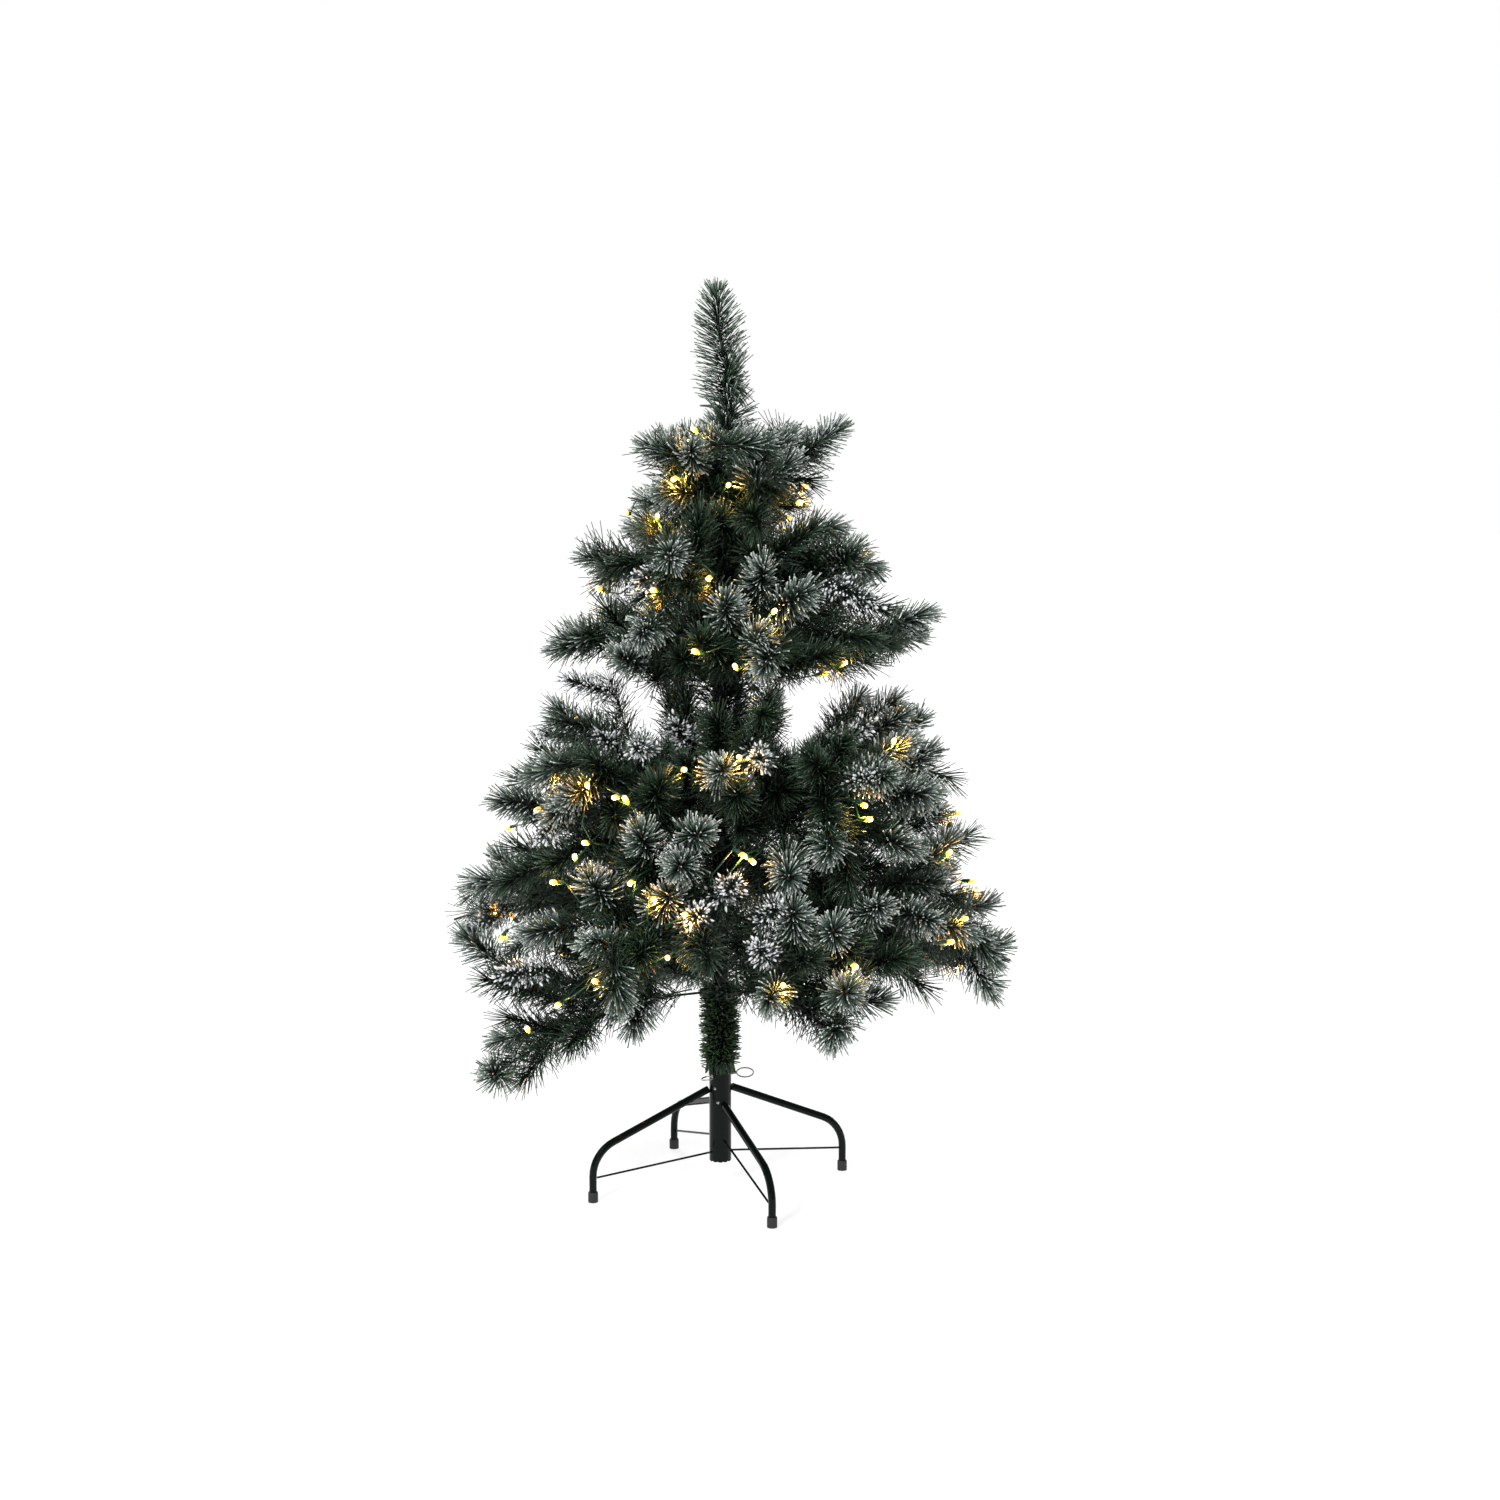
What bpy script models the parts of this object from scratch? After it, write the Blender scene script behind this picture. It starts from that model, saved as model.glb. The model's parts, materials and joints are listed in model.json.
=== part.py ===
"""Folding artificial tree: a four-leg swing-out stand, a two-piece pole and six tiers of hinged branches.

The origin is on the floor below the pole. +Z is up, +X is to the right and -Y is the front.
"""
import math

import bmesh
import bpy
from mathutils import Matrix, Vector

NAME = "frosted_tree"
GAP = 0.0003                     # space kept between pieces that touch
CUT_PAST = 0.002                 # a cutter runs this far past the faces it cuts

# Pole: the upper piece pushes into the lower one
LOWER_POLE_RADIUS = 0.0110
POLE_WALL = 0.0008
POLE_FIT = 0.0004
UPPER_POLE_RADIUS = LOWER_POLE_RADIUS - POLE_WALL - POLE_FIT
LOWER_POLE_RISE = 0.472          # lower pole's top above the socket's top
POLE_OVERLAP = 0.060
UPPER_POLE_RISE = 0.345          # upper pole's top above the lower pole's top

# Socket of the stand: one inner tube with three outer sleeves stacked on it
SOCKET_PLAY = 0.00105
TUBE_WALL = 0.0012
SLEEVE_WALL = 0.0012
TUBE_RADIUS = LOWER_POLE_RADIUS + SOCKET_PLAY + TUBE_WALL
SLEEVE_RADIUS = TUBE_RADIUS + GAP + SLEEVE_WALL
SOCKET_BOTTOM = 0.036
BOTTOM_SLEEVE_HEIGHT = 0.0206
SWING_SLEEVE_HEIGHT = 0.0663
TOP_SLEEVE_HEIGHT = 0.0451
SWING_BOTTOM = SOCKET_BOTTOM + BOTTOM_SLEEVE_HEIGHT
SWING_TOP = SWING_BOTTOM + SWING_SLEEVE_HEIGHT
SOCKET_TOP = SWING_TOP + TOP_SLEEVE_HEIGHT
LOWER_POLE_TOP = SOCKET_TOP + LOWER_POLE_RISE
UPPER_POLE_TOP = LOWER_POLE_TOP + UPPER_POLE_RISE
FLOOR_THICKNESS = 0.0025
FLOOR_HOLE_RADIUS = 0.0075
NOTCH_COUNT = 12
NOTCH_RADIUS = 0.0017
NOTCH_DEPTH = 0.002
RING_STEPS = 24

# Legs, braces and feet: the fixed pair hangs on the top sleeve, the other pair on the swing sleeve
FIXED_FRAME_ANGLE = math.radians(21.4)
FOOT_CIRCLE = 0.180
LEG_RADIUS = 0.005
LEG_BEND_RADIUS = 0.048
FIXED_LEG_HEIGHT = SWING_TOP + 0.0131
SWING_LEG_HEIGHT = SWING_TOP - 0.0079
FIXED_BEND_END = 0.034           # height at which the bend has turned straight down
SWING_BEND_END = 0.029
BRACE_RADIUS = 0.0015
BRACE_DROP = 0.002               # brace's outer end below the end of the bend
FIXED_BRACE_HEIGHT = SOCKET_BOTTOM + 0.0115
SWING_BRACE_HEIGHT = SWING_BOTTOM + 0.0094
FOOT_WALL = 0.0013
FOOT_RADIUS = LEG_RADIUS + GAP + FOOT_WALL
FOOT_HEIGHT = 0.0135
FOOT_SOLE = 0.002
FOOT_LIP = 0.0015
STEEPEST_SLOPE = math.radians(60.0)
SLOPE_HALVINGS = 40
BEND_STEPS = 8
FOOT_STEPS = 20

# Rivets
RIVET_HEAD_RADIUS = 0.0021
RIVET_HEAD_HEIGHT = 0.0011
RIVET_SHANK_RADIUS = 0.0012
RIVET_STEPS = 12
FIXED_RIVET_TURN = math.radians(40.0)
FIXED_RIVET_HEIGHT = SWING_TOP + 0.0146
SWING_RIVET_TURN = math.radians(-33.0)
SWING_RIVET_HEIGHT = SWING_TOP - 0.0044

# Eye screws that clamp the pole
SCREW_HEIGHT = SOCKET_TOP - 0.012
SCREW_RADIUS = 0.0020
SCREW_STAND_OUT = 0.0070         # bare shank outside the sleeve
EYE_WIRE_RADIUS = 0.0010
EYE_HALF_LENGTH = 0.0115
EYE_HALF_WIDTH = 0.0065
EYE_POINTS = 12
SCREWS = (("right", 0.0, 90.0), ("back", 120.0, 0.0), ("front", 240.0, 0.0))

# Hinge brackets
BRACKET_WALL = 0.0035
BRACKET_HEIGHT = 0.020
CHANNEL_LENGTH = 0.0135
CHANNEL_WIDTH = 0.0090
CHANNEL_FLOOR = 0.0020
SLOT_WIDTH = 0.0048
PIN_OFFSET = 0.0090              # pin axis to the sleeve's outer face
PIN_RADIUS = 0.0014
EYE_RADIUS = 0.0036
EYE_HOLE_RADIUS = 0.0019
EYE_WIDTH = 0.0040
PIN_BITE = 0.001                 # each end of a pin goes this far into its channel's wall

# Branches: wire stem with a slim core of twisted foliage
STEM_RADIUS = 0.0017
CORE_START = 0.16                # share of the stem that stays bare
STEM_POINTS = 8
CORE_LEAN = 1.2                  # above 1 the core is widest past its middle
CORE_FULLNESS = 0.7              # below 1 the core is blunter at its ends
BRANCHES_PER_TIER = 4
LOWER, UPPER = "lower", "upper"
TIERS = (
    # name, pole, hinge height, first angle, reach, rise of each branch, arch, core radius
    ("bottom", LOWER, SOCKET_TOP + 0.100, 25.0, 0.315, (0.010, -0.050, -0.075, 0.015), 0.022, 0.013),
    ("wide", LOWER, SOCKET_TOP + 0.200, -20.0, 0.392, BRANCHES_PER_TIER * (-0.030,), 0.030, 0.014),
    ("shoulder", LOWER, SOCKET_TOP + 0.300, 42.0, 0.300, BRANCHES_PER_TIER * (0.120,), 0.020, 0.013),
    ("skirt", UPPER, LOWER_POLE_TOP + 0.050, 14.0, 0.240, BRANCHES_PER_TIER * (0.035,), 0.022, 0.012),
    ("middle", UPPER, LOWER_POLE_TOP + 0.145, -20.0, 0.180, BRANCHES_PER_TIER * (0.060,), 0.016, 0.011),
    ("crown", UPPER, LOWER_POLE_TOP + 0.245, 25.0, 0.125, BRANCHES_PER_TIER * (0.100,), 0.008, 0.010),
)
SHORT_BRANCHES = {("skirt", 3): 0.205, ("crown", 3): 0.095}     # reach of the shorter branches

# Garland on the bare trunk, leader and light cable
GARLAND_WALL = 0.0052
GARLAND_BOTTOM = SOCKET_TOP + 0.003
GARLAND_TOP = TIERS[0][2] - BRACKET_HEIGHT
LEADER_ROUTE = ((0.0, 0.0), (0.012, 0.010), (0.017, 0.045), (0.011, 0.085),
                (0.004, 0.120), (-0.001, 0.160), (-0.003, 0.203))
LEADER_CORE = 0.010
LEADER_CORE_START = 0.3          # the leader's foot has the core of this share of a branch
CABLE_RADIUS = 0.0012
CABLE_OFFSET = 0.0072            # cable's centre to the bracket sleeve's outer face
CABLE_BOW = math.radians(9.0)
CABLE_STEPS = 6
CABLE_END = 0.045
LOWER_CABLE_ANGLE = math.radians(-2.5)
UPPER_CABLE_ANGLE = math.radians(-3.0)

# Finishes: colour, roughness, metallic
GREEN_PAINT = ((0.012, 0.022, 0.018), 0.35, 0.0)
BLACK_RUBBER = ((0.012, 0.012, 0.013), 0.7, 0.0)
ZINC = ((0.62, 0.62, 0.60), 0.3, 1.0)
NEEDLE_GREEN = ((0.030, 0.070, 0.048), 0.8, 0.0)
BRACKET_GREEN = ((0.018, 0.045, 0.028), 0.5, 0.0)
CABLE_GREEN = ((0.010, 0.060, 0.020), 0.4, 0.0)
HARD_EDGE = 35.0                 # edges sharper than this stay sharp, in degrees
SOFT_EDGE = 60.0


def clear_scene():
    for obj in list(bpy.data.objects):
        bpy.data.objects.remove(obj, do_unlink=True)


def new_collection(name):
    made = bpy.data.collections.new(name)
    bpy.context.scene.collection.children.link(made)
    return made


def finish_of(name, color, roughness, metallic):
    material = bpy.data.materials.new(name)
    material.use_nodes = True
    shader = material.node_tree.nodes["Principled BSDF"]
    shader.inputs["Base Color"].default_value = (*color, 1.0)
    shader.inputs["Roughness"].default_value = roughness
    shader.inputs["Metallic"].default_value = metallic
    return material


def add_object(name, data, collection):
    obj = bpy.data.objects.new(name, data)
    collection.objects.link(obj)
    return obj


def add_part(name, data, finish):
    obj = add_object(name, data, PARTS)
    obj.data.materials.clear()
    obj.data.materials.append(finish_of(name, *finish))
    return obj


def add_cutter(name, data):
    obj = add_object(name, data, CUTTERS)
    obj.hide_render = True
    obj.display_type = "WIRE"
    return obj


def smooth(obj, angle=HARD_EDGE):
    obj.data.shade_smooth()
    obj.data.set_sharp_from_angle(angle=math.radians(angle))


def mesh_from(name, work):
    data = bpy.data.meshes.new(name)
    work.to_mesh(data)
    work.free()
    return data


def baked(obj):
    """The object's shape with its modifiers applied, as a new mesh with its loose caps welded."""
    depsgraph = bpy.context.evaluated_depsgraph_get()
    data = bpy.data.meshes.new_from_object(obj.evaluated_get(depsgraph))
    work = bmesh.new()
    work.from_mesh(data)
    bmesh.ops.remove_doubles(work, verts=work.verts, dist=1e-6)
    work.to_mesh(data)
    work.free()
    return data


def boolean(obj, operand, operation="DIFFERENCE"):
    modifier = obj.modifiers.new(operation.lower(), "BOOLEAN")
    modifier.operation = operation
    modifier.solver = "EXACT"
    modifier.object = operand
    return modifier


def turned_mesh(name, profile, closed=True):
    """A profile of (radius, height) points at +X whose outer side runs from the top down."""
    data = bpy.data.meshes.new(name)
    points = [(radius, 0.0, height) for radius, height in profile]
    edges = [(i, i + 1) for i in range(len(points) - 1)]
    if closed:
        edges.append((len(points) - 1, 0))
    data.from_pydata(points, edges, [])
    return data


def add_screw(obj, steps):
    modifier = obj.modifiers.new("turn", "SCREW")
    modifier.axis = "Z"
    modifier.angle = 2 * math.pi
    modifier.steps = steps
    modifier.render_steps = steps
    modifier.use_merge_vertices = True
    modifier.merge_threshold = 0.00001
    return modifier


def ring(name, outer, inner, bottom, top, finish):
    profile = [(outer, top), (outer, bottom), (inner, bottom), (inner, top)]
    obj = add_part(name, turned_mesh(name, profile), finish)
    add_screw(obj, RING_STEPS)
    return obj


def curve_data(name, points, radius, radii=None, resolution=2, cyclic=False):
    data = bpy.data.curves.new(name, "CURVE")
    data.dimensions = "3D"
    data.bevel_depth = radius
    data.bevel_resolution = resolution
    data.use_fill_caps = not cyclic
    spline = data.splines.new("POLY")
    spline.points.add(len(points) - 1)
    spline.use_cyclic_u = cyclic
    for index, point in enumerate(points):
        spline.points[index].co = (*point, 1.0)
        spline.points[index].radius = radii[index] if radii else 1.0
    return data


def solid_from_curve(data):
    """A curve's tube as one closed mesh."""
    guide = add_object(data.name + "_guide", data, CUTTERS)
    mesh = baked(guide)
    bpy.data.objects.remove(guide, do_unlink=True)
    return mesh


def rod_mesh(name, radius, start, end, segments=12):
    """A cylinder along +X from start to end."""
    work = bmesh.new()
    bmesh.ops.create_cone(work, cap_ends=True, segments=segments, radius1=radius, radius2=radius,
                          depth=end - start)
    bmesh.ops.rotate(work, verts=work.verts, matrix=Matrix.Rotation(math.radians(90.0), 3, "Y"))
    bmesh.ops.translate(work, verts=work.verts, vec=((start + end) / 2, 0.0, 0.0))
    return mesh_from(name, work)


def cubes_mesh(name, boxes):
    """Boxes given as (size, centre, turn about Z)."""
    work = bmesh.new()
    for size, centre, turn in boxes:
        made = bmesh.ops.create_cube(work, size=1.0)["verts"]
        bmesh.ops.scale(work, verts=made, vec=size)
        bmesh.ops.translate(work, verts=made, vec=centre)
        bmesh.ops.rotate(work, verts=made, cent=(0, 0, 0), matrix=Matrix.Rotation(turn, 3, "Z"))
    return mesh_from(name, work)


def cylinder_mesh(name, radius, bottom, top, segments=32):
    work = bmesh.new()
    bmesh.ops.create_cone(work, cap_ends=True, segments=segments, radius1=radius, radius2=radius,
                          depth=top - bottom)
    bmesh.ops.translate(work, verts=work.verts, vec=(0.0, 0.0, (bottom + top) / 2))
    return mesh_from(name, work)


def radial_rods(name, radius, start, end, angles, height):
    """Rods that stand out from the Z axis at one height."""
    work = bmesh.new()
    for angle in angles:
        made = bmesh.ops.create_cone(work, cap_ends=True, segments=8, radius1=radius,
                                     radius2=radius, depth=end - start)["verts"]
        bmesh.ops.rotate(work, verts=made, cent=(0, 0, 0),
                         matrix=Matrix.Rotation(math.radians(90.0), 3, "Y"))
        bmesh.ops.translate(work, verts=made, vec=((start + end) / 2, 0.0, height))
        bmesh.ops.rotate(work, verts=made, cent=(0, 0, 0), matrix=Matrix.Rotation(angle, 3, "Z"))
    return mesh_from(name, work)


# ---------------------------------------------------------------- socket

def screw_angles():
    return [math.radians(angle) for _, angle, _ in SCREWS]


def fixed_rivet_angles():
    return [FIXED_FRAME_ANGLE + FIXED_RIVET_TURN + half * math.pi for half in (0, 1)]


def swing_leg_angles():
    return [FIXED_FRAME_ANGLE + (half - 0.5) * math.pi for half in (0, 1)]


def swing_rivet_angles():
    return [angle + SWING_RIVET_TURN for angle in swing_leg_angles()]


def make_socket():
    inner = SLEEVE_RADIUS - SLEEVE_WALL
    reach = (LOWER_POLE_RADIUS, SLEEVE_RADIUS + CUT_PAST)
    screw_holes = add_cutter("screw_holes", radial_rods(
        "screw_holes", SCREW_RADIUS + GAP, *reach, screw_angles(), SCREW_HEIGHT))
    rivet_holes = add_cutter("fixed_rivet_holes", radial_rods(
        "fixed_rivet_holes", RIVET_SHANK_RADIUS + GAP, *reach, fixed_rivet_angles(),
        FIXED_RIVET_HEIGHT))
    swing_holes = add_cutter("swing_rivet_holes", radial_rods(
        "swing_rivet_holes", RIVET_SHANK_RADIUS + GAP, *reach, swing_rivet_angles(),
        SWING_RIVET_HEIGHT))
    tube = ring("socket_tube", TUBE_RADIUS, TUBE_RADIUS - TUBE_WALL,
                SOCKET_BOTTOM + FLOOR_THICKNESS + GAP, SOCKET_TOP, GREEN_PAINT)
    top = ring("top_sleeve", SLEEVE_RADIUS, inner, SWING_TOP + GAP, SOCKET_TOP, GREEN_PAINT)
    swing = ring("swing_sleeve", SLEEVE_RADIUS, inner, SWING_BOTTOM, SWING_TOP, GREEN_PAINT)
    for piece in (tube, top):
        boolean(piece, screw_holes)
        boolean(piece, rivet_holes)
    boolean(swing, swing_holes)
    bottom = make_bottom_sleeve(inner)
    for piece in (tube, top, swing, bottom):
        smooth(piece)


def make_bottom_sleeve(inner):
    """Lower sleeve with an inward floor that carries the pole and a scalloped rim."""
    floor_top = SOCKET_BOTTOM + FLOOR_THICKNESS
    top = SWING_BOTTOM - GAP
    profile = [(SLEEVE_RADIUS, top), (SLEEVE_RADIUS, SOCKET_BOTTOM),
               (FLOOR_HOLE_RADIUS, SOCKET_BOTTOM), (FLOOR_HOLE_RADIUS, floor_top),
               (inner, floor_top), (inner, top)]
    sleeve = add_part("bottom_sleeve", turned_mesh("bottom_sleeve", profile), GREEN_PAINT)
    add_screw(sleeve, 2 * NOTCH_COUNT)
    angles = [2 * math.pi * (i + 0.5) / NOTCH_COUNT for i in range(NOTCH_COUNT)]
    notches = radial_rods("rim_notches", NOTCH_RADIUS, SLEEVE_RADIUS - NOTCH_DEPTH,
                          SLEEVE_RADIUS + CUT_PAST, angles, SOCKET_BOTTOM)
    boolean(sleeve, add_cutter("rim_notches", notches))
    return sleeve


# ---------------------------------------------------------------- legs

def leg_slope(height, bend_end):
    """The slope at which a leg from this height ends its bend at that height, found by halving."""
    low, high = 0.0, STEEPEST_SLOPE
    for _ in range(SLOPE_HALVINGS):
        slope = (low + high) / 2
        run = FOOT_CIRCLE - LEG_BEND_RADIUS * (1 - math.sin(slope)) - SLEEVE_RADIUS
        end = height - run * math.tan(slope) - LEG_BEND_RADIUS * math.cos(slope)
        low, high = (slope, high) if end > bend_end else (low, slope)
    return slope


def leg_route(height, bend_end):
    """Points (radius, height) of a leg's centre line: a straight slope, one bend, a straight foot."""
    slope = leg_slope(height, bend_end)
    turn = math.pi / 2 - slope
    start = SLEEVE_RADIUS + GAP + LEG_RADIUS * math.sin(slope)
    bend_start = FOOT_CIRCLE - LEG_BEND_RADIUS * (1 - math.sin(slope))
    bend_height = height - (bend_start - SLEEVE_RADIUS) * math.tan(slope)
    points = [(start, height - (start - SLEEVE_RADIUS) * math.tan(slope))]
    for step in range(BEND_STEPS + 1):
        angle = slope + turn * step / BEND_STEPS
        points.append((bend_start + LEG_BEND_RADIUS * (math.sin(angle) - math.sin(slope)),
                       bend_height - LEG_BEND_RADIUS * (math.cos(slope) - math.cos(angle))))
    points.append((FOOT_CIRCLE, FOOT_SOLE + GAP))
    return points


def make_leg(side, angle, height, bend_end, brace_height):
    turn = Matrix.Rotation(angle, 4, "Z")
    route = [turn @ Vector((r, 0.0, z)) for r, z in leg_route(height, bend_end)]
    leg = add_part("leg_" + side, solid_from_curve(curve_data(
        "leg_" + side, route, LEG_RADIUS, resolution=4)), GREEN_PAINT)
    smooth(leg)
    inner = turn @ Vector((SLEEVE_RADIUS + 2 * GAP, 0.0, brace_height))
    outer = turn @ Vector((FOOT_CIRCLE - LEG_RADIUS - 2 * GAP, 0.0, bend_end - BRACE_DROP))
    brace = add_part("brace_" + side, solid_from_curve(curve_data(
        "brace_" + side, [inner, outer], BRACE_RADIUS)), GREEN_PAINT)
    smooth(brace)
    make_foot(side, turn)


def make_foot(side, turn):
    """A cup that the leg's end stands in; its profile runs from the sole's middle, round, to the bore's."""
    bore = LEG_RADIUS + GAP
    profile = [(0.0, FOOT_SOLE), (bore, FOOT_SOLE), (bore, FOOT_HEIGHT),
               (FOOT_RADIUS - FOOT_LIP / 3, FOOT_HEIGHT), (FOOT_RADIUS, FOOT_HEIGHT - FOOT_LIP),
               (FOOT_RADIUS, 0.0), (0.0, 0.0)]
    foot = add_part("foot_" + side, turned_mesh("foot_" + side, profile, closed=False),
                    BLACK_RUBBER)
    add_screw(foot, FOOT_STEPS)
    foot.location = turn @ Vector((FOOT_CIRCLE, 0.0, 0.0))
    smooth(foot)


def make_rivet(side, angle, height, root):
    """A domed rivet whose shank runs towards the socket's axis."""
    face = SLEEVE_RADIUS + GAP
    dome = [(share, 1 - share ** 2) for share in (0.0, 0.5, 0.85)]
    profile = [(RIVET_HEAD_RADIUS * across, face + RIVET_HEAD_HEIGHT * up) for across, up in dome]
    profile += [(RIVET_HEAD_RADIUS, face), (RIVET_SHANK_RADIUS, face), (RIVET_SHANK_RADIUS, root),
                (0.0, root)]
    rivet = add_part("rivet_" + side, turned_mesh("rivet_" + side, profile, closed=False), ZINC)
    add_screw(rivet, RIVET_STEPS)
    rivet.rotation_euler = (0.0, math.radians(90.0), angle)
    rivet.location = (0.0, 0.0, height)
    smooth(rivet)


def make_stand():
    make_socket()
    for side, half in (("right", 0), ("left", 1)):
        make_leg(side, FIXED_FRAME_ANGLE + half * math.pi, FIXED_LEG_HEIGHT, FIXED_BEND_END,
                 FIXED_BRACE_HEIGHT)
        make_rivet(side, fixed_rivet_angles()[half], FIXED_RIVET_HEIGHT, TUBE_RADIUS - TUBE_WALL)
    for side, half in (("front", 0), ("back", 1)):
        make_leg(side, swing_leg_angles()[half], SWING_LEG_HEIGHT, SWING_BEND_END,
                 SWING_BRACE_HEIGHT)
        make_rivet(side, swing_rivet_angles()[half], SWING_RIVET_HEIGHT, TUBE_RADIUS + GAP)


def make_eye_screws():
    """Wire eyes on threaded shanks, which pass through the socket and press on the pole."""
    tip = LOWER_POLE_RADIUS + GAP
    neck = SLEEVE_RADIUS + SCREW_STAND_OUT
    for side, angle, roll in SCREWS:
        turns = [2 * math.pi * i / EYE_POINTS for i in range(EYE_POINTS)]
        route = [(neck + EYE_HALF_LENGTH * (1 - math.cos(turn)), EYE_HALF_WIDTH * math.sin(turn), 0.0)
                 for turn in turns]
        name = "eye_screw_" + side
        eye = add_part(name, solid_from_curve(curve_data(name, route, EYE_WIRE_RADIUS, cyclic=True)),
                       ZINC)
        shank = add_cutter(name + "_shank", rod_mesh(name + "_shank", SCREW_RADIUS, tip, neck))
        boolean(eye, shank, "UNION")
        eye.data = baked(eye)
        eye.modifiers.clear()
        eye.rotation_euler = (math.radians(roll), 0.0, math.radians(angle))
        eye.location = (0.0, 0.0, SCREW_HEIGHT)
        smooth(eye)


# ---------------------------------------------------------------- pole

def make_pole():
    bottom = SOCKET_BOTTOM + FLOOR_THICKNESS + 2 * GAP
    lower = ring("lower_pole", LOWER_POLE_RADIUS, LOWER_POLE_RADIUS - POLE_WALL, bottom,
                 LOWER_POLE_TOP, GREEN_PAINT)
    upper = ring("upper_pole", UPPER_POLE_RADIUS, UPPER_POLE_RADIUS - POLE_WALL,
                 LOWER_POLE_TOP - POLE_OVERLAP, UPPER_POLE_TOP, GREEN_PAINT)
    inner = LOWER_POLE_RADIUS + GAP
    wrap = ring("trunk_garland", inner + GARLAND_WALL, inner, GARLAND_BOTTOM, GARLAND_TOP,
                NEEDLE_GREEN)
    for piece in (lower, upper, wrap):
        smooth(piece)


def pole_radius(pole):
    return LOWER_POLE_RADIUS if pole == LOWER else UPPER_POLE_RADIUS


def sleeve_face(pole):
    return pole_radius(pole) + GAP + BRACKET_WALL


def pin_radius_from_axis(pole):
    return sleeve_face(pole) + PIN_OFFSET


def bracket_mesh(pole):
    """A sleeve with one slotted channel and hinge pin for each branch; the pins lie at height 0."""
    half = BRACKET_HEIGHT / 2
    face = sleeve_face(pole)
    quarter = [math.pi / 2 * i for i in range(BRANCHES_PER_TIER)]
    low = -EYE_RADIUS - GAP - CHANNEL_FLOOR
    high = EYE_RADIUS
    middle = (low + high) / 2
    channel_length = CHANNEL_LENGTH + BRACKET_WALL / 2
    channels = [((channel_length, CHANNEL_WIDTH, high - low),
                 (face + (CHANNEL_LENGTH - BRACKET_WALL / 2) / 2, 0.0, middle), turn)
                for turn in quarter]
    slot_length = CHANNEL_LENGTH + CUT_PAST
    slot_bottom = low + CHANNEL_FLOOR
    slot_height = high + CUT_PAST - slot_bottom
    slots = [((slot_length, SLOT_WIDTH, slot_height),
              (face + GAP + slot_length / 2, 0.0, slot_bottom + slot_height / 2), turn)
             for turn in quarter]
    body = add_object("bracket", cylinder_mesh("bracket", face, -half, half, 20), CUTTERS)
    boolean(body, add_cutter("channels_" + pole, cubes_mesh("channels", channels)), "UNION")
    boolean(body, add_cutter("slots_" + pole, cubes_mesh("slots", slots)))
    bore = cylinder_mesh("bore", pole_radius(pole) + GAP, -half - CUT_PAST, half + CUT_PAST, 24)
    boolean(body, add_cutter("bore_" + pole, bore))
    pins = bmesh.new()
    for turn in quarter:
        made = bmesh.ops.create_cone(pins, cap_ends=True, segments=8, radius1=PIN_RADIUS,
                                     radius2=PIN_RADIUS, depth=SLOT_WIDTH + 2 * PIN_BITE)["verts"]
        bmesh.ops.rotate(pins, verts=made, cent=(0, 0, 0),
                         matrix=Matrix.Rotation(math.radians(90.0), 3, "X"))
        bmesh.ops.translate(pins, verts=made, vec=(face + PIN_OFFSET, 0.0, 0.0))
        bmesh.ops.rotate(pins, verts=made, cent=(0, 0, 0), matrix=Matrix.Rotation(turn, 3, "Z"))
    boolean(body, add_cutter("pins_" + pole, mesh_from("pins", pins)), "UNION")
    mesh = baked(body)
    bpy.data.objects.remove(body, do_unlink=True)
    return mesh


# ---------------------------------------------------------------- branches

def core_radius(share, width):
    """Radius of a branch along its length: bare wire, then a spindle of foliage."""
    if share <= CORE_START:
        return STEM_RADIUS
    along = (share - CORE_START) / (1 - CORE_START)
    spindle = math.sin(math.pi * along ** CORE_LEAN) ** CORE_FULLNESS
    return STEM_RADIUS + (width - STEM_RADIUS) * spindle


def branch_mesh(name, length, rise, arch, width):
    """A branch in its own frame: the hinge axis is Y at the origin and the stem runs out along +X."""
    shares = [i / (STEM_POINTS - 1) for i in range(STEM_POINTS)]
    start = (EYE_RADIUS + EYE_HOLE_RADIUS) / 2
    route = [(start + (length - start) * s, 0.0, rise * s + arch * 4 * s * (1 - s)) for s in shares]
    radii = [max(core_radius(s, width), STEM_RADIUS) / STEM_RADIUS for s in shares]
    stem = add_object(name, solid_from_curve(curve_data(name, route, STEM_RADIUS, radii)), CUTTERS)
    eye = bmesh.new()
    bmesh.ops.create_cone(eye, cap_ends=True, segments=12, radius1=EYE_RADIUS, radius2=EYE_RADIUS,
                          depth=EYE_WIDTH)
    bmesh.ops.rotate(eye, verts=eye.verts, matrix=Matrix.Rotation(math.radians(90.0), 3, "X"))
    hole = bmesh.new()
    bmesh.ops.create_cone(hole, cap_ends=True, segments=8, radius1=EYE_HOLE_RADIUS,
                          radius2=EYE_HOLE_RADIUS, depth=2 * EYE_WIDTH)
    bmesh.ops.rotate(hole, verts=hole.verts, matrix=Matrix.Rotation(math.radians(90.0), 3, "X"))
    boolean(stem, add_cutter(name + "_eye", mesh_from(name + "_eye", eye)), "UNION")
    boolean(stem, add_cutter(name + "_hole", mesh_from(name + "_hole", hole)))
    mesh = baked(stem)
    bpy.data.objects.remove(stem, do_unlink=True)
    return mesh


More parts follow.
